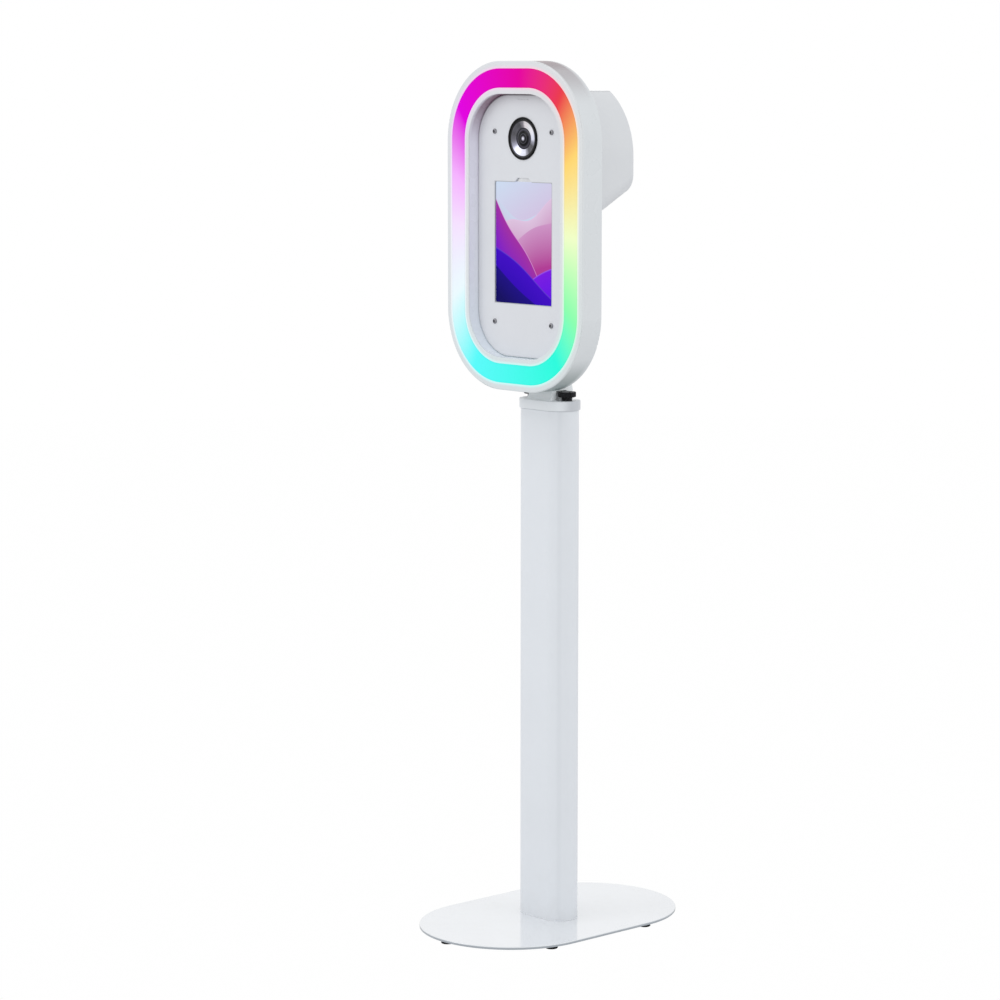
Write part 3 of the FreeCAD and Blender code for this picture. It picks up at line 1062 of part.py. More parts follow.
def add_inlet():
    wall_x = -HOUSING_RADIUS
    face_x = wall_x - INLET_FLANGE
    z = HEAD_MIDDLE + INLET_RISE
    half_l = INLET_LENGTH / 2
    half_w = INLET_WIDTH / 2
    flange = box(face_x, wall_x, INLET_Y - half_w, INLET_Y + half_w, z - half_l, z + half_l)
    body_l = half_l - INLET_WALL - FIT_GAP
    body_w = half_w - INLET_WALL - FIT_GAP
    body = box(wall_x, wall_x + INLET_DEPTH, INLET_Y - body_w, INLET_Y + body_w, z - body_l, z + body_l)
    module = flange.fuse(body).removeSplitter()
    socket_z = z - SOCKET_SHIFT
    half_sl = SOCKET_LENGTH / 2
    half_sw = SOCKET_WIDTH / 2
    module = module.cut(box(face_x - 1, face_x + SOCKET_DEPTH, INLET_Y - half_sw, INLET_Y + half_sw,
                            socket_z - half_sl, socket_z + half_sl))
    rocker_z = z + ROCKER_SHIFT
    pocket_l = ROCKER_LENGTH / 2 + SEAT_GAP
    pocket_w = ROCKER_WIDTH / 2 + BODY_GAP
    module = module.cut(box(face_x - 1, face_x + 9, INLET_Y - pocket_w, INLET_Y + pocket_w,
                            rocker_z - pocket_l, rocker_z + pocket_l))
    pins = []
    pin_x = face_x + SOCKET_DEPTH - PIN_LENGTH
    for side in (-1, 1):
        start = (pin_x, INLET_Y, socket_z + side * PIN_SPACING / 2)
        hole_start = (pin_x + PIN_LENGTH - 1, INLET_Y, socket_z + side * PIN_SPACING / 2)
        pins.append(rod(start, (1, 0, 0), PIN_LENGTH + 3, PIN_RADIUS))
        module = module.cut(rod(hole_start, (1, 0, 0), 5, PIN_RADIUS + FIT_GAP))
    axle_x = face_x + 3
    half_r = ROCKER_LENGTH / 2
    half_rw = ROCKER_WIDTH / 2
    crest = math.tan(math.radians(ROCKER_HALF_TILT_DEG)) * half_r
    outline = [(-half_r, face_x - crest), (0, face_x - 0.4), (half_r, face_x - crest),
               (half_r, axle_x + 1), (-half_r, axle_x + 1)]
    corners = [Vector(x, INLET_Y - half_rw, rocker_z + along) for along, x in outline]
    rocker = Part.Face(Part.makePolygon(corners + corners[:1])).extrude(Vector(0, ROCKER_WIDTH, 0))
    axle_half = half_rw + 2
    axle = rod((axle_x, INLET_Y - axle_half, rocker_z), (0, 1, 0), 2 * axle_half, 1.0)
    rocker = rocker.fuse(axle).removeSplitter()
    rocker.rotate(Vector(axle_x, INLET_Y, rocker_z), Vector(0, 1, 0), ROCKER_HALF_TILT_DEG)
    bearing = rod((axle_x, INLET_Y - axle_half - 1, rocker_z), (0, 1, 0), 2 * axle_half + 2,
                  1.0 + RUNNING_GAP)
    parts["power_inlet"] = module.cut(bearing)
    parts["inlet_pins"] = Part.makeCompound(pins)
    parts["rocker_switch"] = rocker


def build():
    add_base()
    add_column()
    add_neck()
    add_knobs()
    add_tilt_bracket()
    add_head_shell()
    add_inner_frame()
    add_light()
    add_front_panel()
    add_lens_port()
    add_tablet()
    add_housing()
    add_door()
    add_shelf()
    add_camera()
    add_lens()
    add_electrics()
    add_inlet()


build()
os.makedirs("parts", exist_ok=True)
for node, shape in parts.items():
    if not shape.isValid():
        raise RuntimeError(node + " is not a valid solid")
    shape.exportStep("parts/" + node + ".step")
    print(node, len(shape.Solids), round(shape.Volume), shape.BoundBox)
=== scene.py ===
import json
import math

import bmesh
import bpy
from mathutils import Matrix, Vector


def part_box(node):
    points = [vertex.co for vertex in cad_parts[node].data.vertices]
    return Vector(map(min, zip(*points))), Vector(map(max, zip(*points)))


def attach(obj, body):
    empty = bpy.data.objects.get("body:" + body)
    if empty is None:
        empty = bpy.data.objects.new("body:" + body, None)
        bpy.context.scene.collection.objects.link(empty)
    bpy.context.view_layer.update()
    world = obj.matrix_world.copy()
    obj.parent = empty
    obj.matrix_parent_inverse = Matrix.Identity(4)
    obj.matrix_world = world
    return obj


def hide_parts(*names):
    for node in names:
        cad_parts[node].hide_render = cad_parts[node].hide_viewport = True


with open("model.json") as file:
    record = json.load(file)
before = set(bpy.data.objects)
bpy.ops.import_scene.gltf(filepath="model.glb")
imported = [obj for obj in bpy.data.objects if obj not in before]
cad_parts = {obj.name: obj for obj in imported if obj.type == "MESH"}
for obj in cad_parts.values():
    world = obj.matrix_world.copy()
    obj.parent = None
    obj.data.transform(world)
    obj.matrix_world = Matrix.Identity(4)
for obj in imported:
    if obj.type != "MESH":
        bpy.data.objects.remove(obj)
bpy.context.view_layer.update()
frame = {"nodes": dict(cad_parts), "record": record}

bl_info = {
    "name": "Photo booth finishes",
    "version": (1, 0, 0),
    "blender": (4, 5, 0),
    "location": "View3D > Sidebar > Booth",
    "description": "Makes the visible pieces, finishes and stage of a ring-light photo booth",
    "category": "Object",
}

NODES = frame["nodes"]
SLOTS = {row["node"]: row["material_slot"] for row in frame["record"]["subparts"]}
BODIES = {node: body
          for body, nodes in frame["record"]["behaviour"]["bodies"].items()
          for node in nodes}

# Outline of the head, from the shell's box, in metres.
HEAD_LOW, HEAD_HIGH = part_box("head_shell")
HEAD_HALF_X = HEAD_HIGH.x
HEAD_MIDDLE_Z = (HEAD_LOW.z + HEAD_HIGH.z) / 2
HEAD_HALF_Z = (HEAD_HIGH.z - HEAD_LOW.z) / 2
HEAD_CORNER = 0.147
BEZEL_OUTER = 0.0137
BAND_WIDTH = 0.0354
BAND_INNER = BEZEL_OUTER + BAND_WIDTH
RING_WIDTH = 0.0607
WINDOW_HALF_X = 0.0777
WINDOW_HALF_Z = 0.11265
WINDOW_MIDDLE_Z = HEAD_MIDDLE_Z - 0.0309

# Colour of the light band at shares of its length, starting where the right
# side's straight run begins and going up, over the top and round.
BAND = (
    (0, (140, 255, 175)), (3, (240, 255, 200)), (6, (255, 215, 115)),
    (8.5, (235, 60, 75)), (11, (230, 0, 160)), (15, (225, 0, 225)),
    (17.5, (245, 180, 255)), (22, (235, 250, 255)), (25, (90, 250, 250)),
    (30, (45, 250, 220)),
)
BAND_SHARES = 32
BAND_SEAM = (245, 225, 255)


def tone(red, green, blue, gain=1.0):
    """A screen colour of 0 to 255 a channel as scene-linear red, green, blue, alpha."""
    out = []
    for value in (red, green, blue):
        v = value / 255
        out.append(gain * (v / 12.92 if v <= 0.04045 else ((v + 0.055) / 1.055) ** 2.4))
    return (*out, 1.0)


def scaled(colour, gain):
    """A colour made lighter or darker."""
    return (colour[0] * gain, colour[1] * gain, colour[2] * gain, 1.0)


# Shade at the top of the shell (crown), at its foot and at the top of the
# recess (hood): colour, share where it is strongest, and reach in metres.
CROWN_COLOUR = (100, 62, 76)
CROWN_SHARE = 0.58
CROWN_REACH = 0.085
CROWN_TIP_SHARE = 0.40
CROWN_TIP_REACH = 0.018
FOOT_COLOUR = (84, 110, 106)
FOOT_SHARE = 0.92
FOOT_REACH = 0.075
HOOD_SHARE = 0.88
HOOD_REACH = 0.10

# The band's light on the rims beside it: how bright, and how far in metres.
GLOW_LIGHT = 0.65
HALO = 0.0065

# Refraction of a gloss coat, and of the base plate's.
COAT_IOR = 1.5
MIRROR_IOR = 1.8

# Colour of the fine lines of painted shade in narrow gaps: under the column's cap, and round the
# panel's window and edge.
GAP_SHADE = (120, 124, 130)

BLACK = (0.0, 0.0, 0.0, 1.0)
WHITE = (1.0, 1.0, 1.0, 1.0)

# Lamps and floor, in metres.
KEY_PLACE = (-1.6, -3.4, 3.0)
KEY_SIZE = 2.6
FILL_PLACE = (3.6, 1.2, 2.2)
FILL_SIZE = 2.4
LAMP_TARGET = (0.0, 0.0, 1.0)
FLOOR_RADIUS = 9.0
BOUNCE_DROP = 0.0002

# Lens rings and dial: wall of a ring, share of a rib's spacing that the rib
# fills, how much shorter a rib is than its ring, ribs of the dial, and their
# width and height. Lengths are in metres.
RING_WALL = 0.0019
RIB_FILL = 0.62
RIB_MARGIN = 0.003
DIAL_RIBS = 36
DIAL_RIB_WIDTH = 0.0009
DIAL_RIB_HEIGHT = 0.0006

# Room round a foot's screw, in metres.
SCREW_PLAY = 0.0004

# A rounded edge is at least this many times as long as its rounding is wide,
# and may leave its node's box by no more than this, in metres.
SHORTEST_EDGE = 0.8
EDGE_SLACK = 0.00003


def band_angle(share):
    """Direction from the head's middle to a share of the band's middle line, in radians."""
    inset = BEZEL_OUTER + BAND_WIDTH / 2
    radius = HEAD_CORNER - inset
    flat_x = HEAD_HALF_X - HEAD_CORNER
    flat_z = HEAD_HALF_Z - HEAD_CORNER
    quarter = math.pi * radius / 2
    runs = (2 * flat_z, quarter, 2 * flat_x, quarter) * 2
    along = share * sum(runs)
    k = 0
    while along > runs[k]:
        along -= runs[k]
        k += 1
    side = k // 2
    if k % 2 == 0:
        a = along - runs[k] / 2
        x, z = ((flat_x + radius, a), (-a, flat_z + radius),
                (-flat_x - radius, -a), (a, -flat_z - radius))[side]
    else:
        corner = ((1, 1), (-1, 1), (-1, -1), (1, -1))[side]
        t = math.radians(90 * side) + along / radius
        x = corner[0] * flat_x + radius * math.cos(t)
        z = corner[1] * flat_z + radius * math.sin(t)
    return math.atan2(z, x)


# ---------------------------------------------------------------- settings

def length(name, about, default, low, high):
    """A length setting."""
    return bpy.props.FloatProperty(
        name=name, description=about, default=default, min=low, max=high, unit="LENGTH")


def colour_setting(name, about, default):
    """A colour setting."""
    return bpy.props.FloatVectorProperty(
        name=name, description=about, subtype="COLOR", size=3, min=0, max=1, default=default)


def amount(name, about, default, high, **more):
    """A number setting from 0 up."""
    return bpy.props.FloatProperty(
        name=name, description=about, default=default, min=0, max=high, **more)


class BoothShapeSettings(bpy.types.PropertyGroup):
    """Sizes of the fine shapes that the drawing leaves out."""
    shell_edge: length("Shell edge", "Rounding of the inner frame's edges", 0.0012, 0.0001, 0.003)
    steel_edge: length("Steel edge", "Rounding of the coated steel's edges", 0.0007, 0.0001, 0.003)
    fine_edge: length("Fine edge", "Rounding of small parts' edges", 0.0003, 0.00005, 0.001)
    screw_crown: length("Screw crown", "Height of a panel screw's domed head",
                        0.0026, 0.0005, 0.004)
    socket_width: length("Socket radius", "Radius of the six-sided socket in a screw's head",
                         0.0029, 0.0005, 0.004)
    rib_count: bpy.props.IntProperty(
        name="Ribs on a ring", description="Number of grip ribs round a lens ring",
        default=72, min=8, max=160)
    rib_height: length("Rib height", "How far a grip rib stands up", 0.0009, 0.0002, 0.002)


class BoothFinishSettings(bpy.types.PropertyGroup):
    """Colours of the finishes."""
    coat_white: colour_setting("Coat white", "White of the coated steel", (0.80, 0.825, 0.86))
    shell_white: colour_setting("Shell white", "White of the moulded shells", (0.735, 0.76, 0.775))
    panel_white: colour_setting("Panel white", "White of the front panel", (0.74, 0.75, 0.78))
    black: colour_setting("Black", "Black of the knobs, feet and camera", (0.006, 0.006, 0.008))
    band_strength: amount("Band strength", "How brightly the band shines", 1.0, 10)
    glow: amount("Glow", "Share of the band's colour on the rims beside it", 0.30, 1,
                 subtype="FACTOR")
    screen_strength: amount("Screen strength", "How brightly the tablet's picture shines", 0.95, 10)


class BoothStageSettings(bpy.types.PropertyGroup):
    """Camera, lights and floor."""
    camera_place: bpy.props.FloatVectorProperty(
        name="Camera place", description="Where the camera stands", subtype="TRANSLATION",
        unit="LENGTH", size=3, default=(4.4249, -4.1062, 1.6279))
    camera_turn: bpy.props.FloatVectorProperty(
        name="Camera turn", description="The camera's tilt, roll and heading", subtype="EULER",
        size=3, default=(math.radians(90 - 7.69), 0.0, math.radians(48.03)))
    camera_lens: bpy.props.FloatProperty(
        name="Camera lens", description="Focal length for a sensor 36 mm wide",
        default=115.96, min=10, max=300, unit="CAMERA")
    sky: amount("Sky", "Strength of the even light from all round", 0.88, 5)
    key: amount("Key light", "Power of the large lamp at the front left", 30.0, 500, unit="POWER")
    fill: amount("Fill light", "Power of the large lamp on the right", 15.0, 500, unit="POWER")


# ---------------------------------------------------------------- finishes

class Recipe:
    """Adds and joins the nodes of one finish."""

    def __init__(self, name, **shader):
        self.material = bpy.data.materials.new(name)
        self.material.use_nodes = True
        self.tree = self.material.node_tree
        self.tree.nodes.clear()
        output = self.tree.nodes.new("ShaderNodeOutputMaterial")
        self.shader = self.tree.nodes.new("ShaderNodeBsdfPrincipled")
        self.tree.links.new(self.shader.outputs["BSDF"], output.inputs["Surface"])
        self.place = self.tree.nodes.new("ShaderNodeTexCoord").outputs["Object"]
        for key, value in shader.items():
            self.set(key.replace("_", " "), value)

    def set(self, socket, value):
        """Gives a value or a link to one of the shader's own sockets."""
        names = {s.name.lower(): s for s in self.shader.inputs}
        self.feed(names[socket.lower()], value)

    def feed(self, socket, value):
        """Links an output, or sets a constant."""
        if isinstance(value, bpy.types.NodeSocket):
            self.tree.links.new(value, socket)
        else:
            socket.default_value = value

    def add(self, kind, given, **settings):
        """A new node with its settings and inputs."""
        node = self.tree.nodes.new(kind)
        for key, value in settings.items():
            setattr(node, key, value)
        for key, value in given.items():
            self.feed(node.inputs[key], value)
        return node

    def sum(self, operation, a, b=0.0, c=0.0):
        """One step of arithmetic."""
        return self.add("ShaderNodeMath", {0: a, 1: b, 2: c}, operation=operation).outputs[0]

    def times(self, a, b):
        """Two numbers multiplied."""
        return self.sum("MULTIPLY", a, b)

    def reach(self, a, b):
        """The long side of a right angle."""
        return self.sum("SQRT", self.sum("ADD", self.times(a, a), self.times(b, b)))

    def axes(self, centre=(0, 0, 0), stretch=(1, 1, 1)):
        """The place in the piece, moved and stretched."""
        moved = self.add("ShaderNodeMapping",
                         {"Vector": self.place,
                          "Location": tuple(-c * s for c, s in zip(centre, stretch)),
                          "Scale": stretch})
        return moved.outputs[0]

    def split(self, vector):
        """The three numbers of a vector."""
        return self.add("ShaderNodeSeparateXYZ", {0: vector}).outputs

    def noise(self, scale, detail=2.0, stretch=None, rough=0.5):
        """Cloudy variation from 0 to 1."""
        vector = self.axes(stretch=stretch) if stretch else self.place
        return self.add("ShaderNodeTexNoise",
                        {"Vector": vector, "Scale": scale, "Detail": detail,
                         "Roughness": rough}).outputs[0]

    def remap(self, value, low, high, start=0.0, end=1.0, smooth=False):
        """Carries a range over to another one, held at its ends."""
        return self.add("ShaderNodeMapRange",
                        {"Value": value, "From Min": low, "From Max": high,
                         "To Min": start, "To Max": end},
                        interpolation_type="SMOOTHSTEP" if smooth else "LINEAR").outputs[0]

    def mix(self, share, a, b, blend="MIX"):
        """One colour laid over another."""
        node = self.tree.nodes.new("ShaderNodeMix")
        node.data_type = "RGBA"
        node.blend_type = blend
        self.feed(node.inputs[0], share)
        self.feed(node.inputs[6], a)
        self.feed(node.inputs[7], b)
        return node.outputs[2]

    def ramp(self, value, stops, mode="LINEAR"):
        """Colours at places along a scale."""
        node = self.add("ShaderNodeValToRGB", {0: value})
        scale = node.color_ramp
        scale.interpolation = mode
        scale.elements[0].position, scale.elements[0].color = stops[0]
        scale.elements[1].position, scale.elements[1].color = stops[-1]
        for position, colour in stops[1:-1]:
            scale.elements.new(position).color = colour
        return node.outputs[0]

    def bump(self, height, distance, strength=1.0, under=None):
        """Fine relief."""
        given = {"Height": height, "Distance": distance, "Strength": strength}
        if under is not None:
            given["Normal"] = under
        return self.add("ShaderNodeBump", given).outputs[0]

    def inset(self):
        """Distance inwards from the head's outline, in metres."""
        x, _, z = self.split(self.axes(centre=(0, 0, HEAD_MIDDLE_Z)))
        px = self.sum("SUBTRACT", self.sum("ABSOLUTE", x), HEAD_HALF_X - HEAD_CORNER)
        pz = self.sum("SUBTRACT", self.sum("ABSOLUTE", z), HEAD_HALF_Z - HEAD_CORNER)
        qx, qz = self.sum("MAXIMUM", px, 0.0), self.sum("MAXIMUM", pz, 0.0)
        corner = self.reach(qx, qz)
        inside = self.sum("MINIMUM", self.sum("MAXIMUM", px, pz), 0.0)
        return self.sum("SUBTRACT", HEAD_CORNER, self.sum("ADD", corner, inside))

    def band_colour(self, gain=1.0):
        """The light band's colour in the direction of each point from the head's middle."""
        x, _, z = self.split(self.axes(centre=(0, 0, HEAD_MIDDLE_Z)))
        turn = self.sum("ARCTAN2", z, x)
        stops = [(band_angle(share / BAND_SHARES) / (2 * math.pi) + 0.5, tone(*colour, gain))
                 for share, colour in BAND]
        stops += [(0.0, tone(*BAND_SEAM, gain)), (1.0, tone(*BAND_SEAM, gain))]
        stops.sort(key=lambda stop: stop[0])
        return self.ramp(self.remap(turn, -math.pi, math.pi), stops)

    def turning(self, reach, pitch, detail):
        """Fine rings about an axis, from the distance to it."""
        return self.add("ShaderNodeTexNoise",
                        {"W": self.times(reach, pitch), "Scale": 1.0,
                         "Detail": detail}, noise_dimensions="1D").outputs[0]

    def round_axis(self, node):
        """(distance from a node's axis along Y, turn round it in radians)."""
        low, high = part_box(node)
        x, _, z = self.split(self.axes(centre=(0, 0, (low.z + high.z) / 2)))
        return self.reach(x, z), self.sum("ARCTAN2", z, x)


def coated(name, white, rough, peel, depth, coat=0.0, painted_light_and_shade=None, coat_ior=COAT_IOR):
    """Painted or gloss moulded white: orange peel, faint clouds, hair scuffs and dust."""
    r = Recipe(name, IOR=1.48, Coat_Weight=coat, Coat_Roughness=0.07, Coat_IOR=coat_ior)
    base = (*white, 1.0)
    cloud = r.remap(r.noise(7.0, 3.0), 0.3, 0.7)
    colour = r.mix(cloud, scaled(base, 0.982), scaled(base, 1.012))
    scuff = r.remap(r.noise(120.0, 2.0, stretch=(1.0, 1.0, 0.05)), 0.66, 0.80, 0.0, 0.02)
    colour = r.mix(scuff, colour, scaled(base, 0.6))
    _, _, z = r.split(r.place)
    dust = r.times(r.remap(z, 0.0, 0.16, 0.05, 0.0),
                   r.remap(r.noise(38.0, 4.0), 0.45, 0.7))
    colour = r.mix(dust, colour, tone(196, 190, 180))
    # Painted light and shade, for the finishes given them.
    if painted_light_and_shade:
        colour = painted_light_and_shade(r, colour)
    r.set("Base Color", colour)
    grease = r.remap(r.noise(21.0, 3.0), 0.35, 0.68, rough - 0.05, rough + 0.07)
    r.set("Roughness", r.sum("ADD", grease, r.times(scuff, 1.5)))
    fine = r.noise(peel, 1.0)
    r.set("Normal", r.bump(fine, depth, 0.8))
    return r.material


def beside_band(side):
    """Shades a rim beside the band, and adds the coloured light that the band throws on it."""
    def painted_light_and_shade(r, colour):
        share = bpy.context.scene.booth_finish.glow
        inset = r.inset()
        _, y, z = r.split(r.place)
        front = HEAD_LOW.y
        if side == "outer":
            near = r.remap(inset, BEZEL_OUTER - HALO, BEZEL_OUTER, 0.06, 1.0, smooth=True)
            near = r.times(near, r.remap(y, front + 0.0005, front + 0.004, 1.0, 0.0))
            sides = r.times(r.remap(y, front + 0.0015, front + 0.006),
                            r.remap(y, HEAD_HIGH.y - 0.012, HEAD_HIGH.y - 0.001, 1.0, 0.0))
            top = HEAD_HIGH.z
            crown = r.sum("ADD", r.remap(z, top - CROWN_REACH, top, 0.0, CROWN_SHARE, True),
                          r.remap(z, top - CROWN_TIP_REACH, top - 0.001, 0.0, CROWN_TIP_SHARE))
            foot = r.remap(z, HEAD_LOW.z, HEAD_LOW.z + FOOT_REACH, FOOT_SHARE, 0.0, True)
            colour = r.mix(r.times(crown, sides), colour, tone(*CROWN_COLOUR))
            colour = r.mix(r.times(foot, sides), colour, tone(*FOOT_COLOUR))
        else:
            near = r.remap(inset, BAND_INNER, BAND_INNER + HALO, 1.0, 0.12, smooth=True)
            # Painted light: a pale blue tint on the recess's inner wall, standing for light from
            # the band and the screen.
            wall = r.remap(y, front + 0.0008, front + 0.004, 0.0, 0.85)
            colour = r.mix(wall, colour, (0.86, 0.88, 0.96, 1.0))
            top = HEAD_HIGH.z - RING_WIDTH
            hood = r.times(r.remap(z, top - HOOD_REACH, top, 0.0, HOOD_SHARE, True),
                           r.remap(y, front + 0.001, front + 0.008))
            colour = r.mix(hood, colour, tone(*CROWN_COLOUR))
        band = r.band_colour()
        pale = r.mix(0.45, band, WHITE)
        lit = r.times(near, share * GLOW_LIGHT)
        r.set("Emission Color", r.mix(lit, BLACK, band))
        r.set("Emission Strength", 1.0)
        return r.mix(r.times(near, share), colour, pale)
    return painted_light_and_shade


def plate_rim(r, colour):
    """Paints shade on the base plate's rim, leaving it greyer than its top."""
    _, _, z = r.split(r.place)
    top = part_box("base_plate")[1].z
    return r.mix(r.remap(z, top - 0.002, top - 0.0006, 0.85, 0.0), colour, tone(150, 158, 166))


def cap_shade(r, colour):
    """Greys the right of the column's cap."""
    x, y, _ = r.split(r.place)
    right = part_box("column_cap")[1].x
    return r.mix(r.times(r.remap(x, right - 0.03, right, 0.0, 0.5, True),
                         r.remap(y, -0.03, -0.005, 0.0, 1.0, True)), colour, tone(150, 152, 160))


def under_cap(r, colour):
    """Paints a fine line of shade under the column's cap, and paints shade on the column's rounded
    corners.
    """
    x, y, z = r.split(r.place)
    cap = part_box("column_cap")[0].z
    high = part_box("column_tube")[1]
    # Painted shade: a thin line just under the cap.
    colour = r.mix(r.remap(z, cap - 0.0024, cap - 0.0008, 0.0, 0.4), colour, tone(*GAP_SHADE))
    # Painted shade on the column's rounded corners.
    aside = r.sum("SUBTRACT", r.sum("ABSOLUTE", x), high.x)
    behind = r.sum("SUBTRACT", r.sum("ABSOLUTE", y), high.y)
    corner = r.times(r.remap(aside, -0.016, -0.002, 0.0, 1.0, True),
                     r.remap(behind, -0.016, -0.002, 0.0, 1.0, True))
    return r.mix(r.times(corner, 0.5), colour, tone(160, 166, 172))


def under_head(r, colour):
    """Paints shade on the front of the neck, darker towards the head above it."""
    _, y, z = r.split(r.place)
    low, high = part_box("neck_yoke")
    middle = (low.y + high.y) / 2
    shade = r.times(r.remap(z, low.z + 0.004, low.z + 0.034, 0.0, 0.66, True),
                    r.remap(y, middle - 0.006, middle + 0.010, 1.0, 0.15, True))
    return r.mix(shade, colour, tone(132, 150, 150))


def window_line(r, colour):
    """Paints fine lines of shade along the panel's window and along the panel's own edge."""
    x, _, z = r.split(r.place)
    aside = r.sum("SUBTRACT", r.sum("ABSOLUTE", x), WINDOW_HALF_X)
    above = r.sum("SUBTRACT", r.sum("ABSOLUTE", r.sum("SUBTRACT", z, WINDOW_MIDDLE_Z)),
                  WINDOW_HALF_Z)
    off = r.sum("MAXIMUM", aside, above)
    # Painted shade: a thin line round the window.
    colour = r.mix(r.remap(off, 0.0004, 0.0022, 0.6, 0.0), colour, tone(*GAP_SHADE))
    # Painted shade in the gap along the panel's edge, stronger towards the top.
    gap = r.times(r.remap(r.inset(), RING_WIDTH + 0.001, RING_WIDTH + 0.0042, 1.0, 0.0),
                  r.remap(z, HEAD_MIDDLE_Z + 0.12, HEAD_HIGH.z - RING_WIDTH - 0.02, 0.15, 0.85))
    return r.mix(gap, colour, tone(60, 56, 60))


def root_shade(r, colour):
    """Greys the housing where it meets the head's back."""
    _, y, _ = r.split(r.place)
    root = HEAD_HIGH.y
    return r.mix(r.remap(y, root, root + 0.04, 0.42, 0.0, True), colour, tone(156, 155, 162))


def moulded(name, base, rough, grain=1800.0, depth=0.00005, wear=0.06):
    """Dark moulded plastic or rubber: fine grain, handling marks, paler wear."""
    r = Recipe(name, IOR=1.46, Specular_IOR_Level=0.2)
    marks = r.remap(r.noise(90.0, 3.0), 0.55, 0.8)
    colour = r.mix(marks, (*base, 1.0), scaled(base, 1.0 + 14 * wear))
    lint = r.remap(r.noise(640.0, 2.0), 0.74, 0.8, 0.0, 0.12)
    r.set("Base Color", r.mix(lint, colour, tone(150, 148, 142)))
    r.set("Roughness", r.remap(r.noise(120.0, 2.0), 0.3, 0.7, rough - 0.06, rough + 0.08))
    pores = r.add("ShaderNodeTexVoronoi", {"Vector": r.place, "Scale": grain}).outputs[0]
    r.set("Normal", r.bump(pores, depth, 0.6))
    return r.material


def metal(name, base, rough, stretch=(1.0, 1.0, 18.0), grain=900.0, depth=0.00002, tarnish=0.12):
    """Bare or plated metal: drawn or rolled grain, cloudy tarnish."""
    r = Recipe(name, Metallic=1.0, IOR=1.5)
    cloud = r.remap(r.noise(60.0, 4.0), 0.35, 0.7)
    colour = r.mix(cloud, (*base, 1.0), scaled(base, 1.0 - tarnish))
    grainy = r.noise(grain, 2.0, stretch=stretch)
    r.set("Base Color", r.mix(r.remap(grainy, 0.3, 0.7, 0.0, 0.2), colour, scaled(base, 0.8)))
    r.set("Roughness", r.sum("ADD", r.remap(cloud, 0.0, 1.0, rough, rough + 0.1),
                             r.remap(grainy, 0.2, 0.8, 0.0, 0.06)))
    r.set("Normal", r.bump(grainy, depth, 0.5))
    return r.material


def lit_band(name):
    """The opal strip, lit from behind in colours that change round the head."""
    strength = bpy.context.scene.booth_finish.band_strength
    r = Recipe(name, IOR=1.3, Specular_IOR_Level=0.04, Emission_Strength=strength)
    colour = r.band_colour()
    inset = r.inset()
    rim = r.times(r.remap(inset, BEZEL_OUTER, BEZEL_OUTER + 0.003, 0.0, 1.0, True),
                  r.remap(inset, BAND_INNER - 0.003, BAND_INNER, 1.0, 0.0, True))
    cloud = r.noise(160.0, 2.0)
    level = r.times(r.remap(rim, 0.0, 1.0, 0.93, 1.0),
                    r.remap(cloud, 0.3, 0.7, 0.985, 1.01))
    lit = r.mix(level, BLACK, colour)
    r.set("Emission Color", lit)
    r.set("Base Color", r.mix(0.01, BLACK, colour))
    r.set("Roughness", r.remap(cloud, 0.3, 0.7, 0.5, 0.62))
    r.set("Normal", r.bump(r.noise(1500.0, 1.0), 0.00003, 0.4))
    return r.material


def picture(name):
    """An abstract picture of soft overlapping slopes, from pale blue down to deep blue."""
    low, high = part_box("tablet_screen")
    strength = bpy.context.scene.booth_finish.screen_strength
    r = Recipe(name, IOR=1.5, Specular_IOR_Level=0.03, Emission_Strength=strength)
    x, _, z = r.split(r.place)
    across = r.remap(x, low.x, high.x)
    down = r.remap(z, low.z, high.z, 1.0, 0.0)
    colour = r.mix(r.remap(r.sum("ADD", down, r.times(across, 0.35)), 0.0, 0.9),
                   tone(206, 222, 242), tone(214, 176, 216))
    slopes = (
        # start, fall, wave, waves across, shift, upper colour, lower colour, depth, edge
        (0.20, 0.12, 0.06, 6.5, 5.2, (204, 214, 236), (206, 186, 222), 0.30, 0.0),
        (0.42, -0.26, 0.045, 8.0, 3.0, (222, 196, 224), (196, 116, 176), 0.42, 0.15),
        (0.60, -0.30, 0.03, 6.0, 1.0, (206, 148, 198), (178, 60, 150), 0.35, 0.0),
        (0.13, 0.90, 0.035, 7.5, 0.3, (163, 48, 160), (104, 16, 214), 0.50, 0.75),
        (1.02, -0.32, 0.03, 5.0, 0.9, (122, 24, 226), (92, 18, 232), 0.30, 0.2),
        (0.53, 0.40, 0.02, 5.5, 2.6, (66, 6, 198), (44, 0, 178), 0.30, 0.1),
        (0.69, 0.44, 0.02, 4.5, 0.0, (28, 10, 132), (16, 8, 96), 0.22, 0.0),
    )
    for start, fall, wave, waves, shift, upper, lower, depth, edge in slopes:
        swing = r.times(r.sum("SINE", r.sum("MULTIPLY_ADD", across, waves, shift)), wave)
        line = r.sum("ADD", r.sum("MULTIPLY_ADD", across, fall, start), swing)
        below = r.sum("SUBTRACT", down, line)
        fill = r.mix(r.remap(below, 0.0, depth), tone(*upper), tone(*lower))
        if edge:
            rim = r.remap(below, 0.0, 0.014, edge, 0.0)
            fill = r.mix(rim, fill, tone(250, 190, 246))
        colour = r.mix(r.remap(below, -0.003, 0.003, 0.0, 1.0, True), colour, fill)
    r.set("Emission Color", colour)
    r.set("Base Color", r.mix(0.96, colour, BLACK))
    smudge = r.noise(70.0, 3.0)
    r.set("Roughness", r.remap(smudge, 0.4, 0.7, 0.08, 0.22))
    r.set("Normal", r.bump(smudge, 0.00001, 0.1))
    return r.material


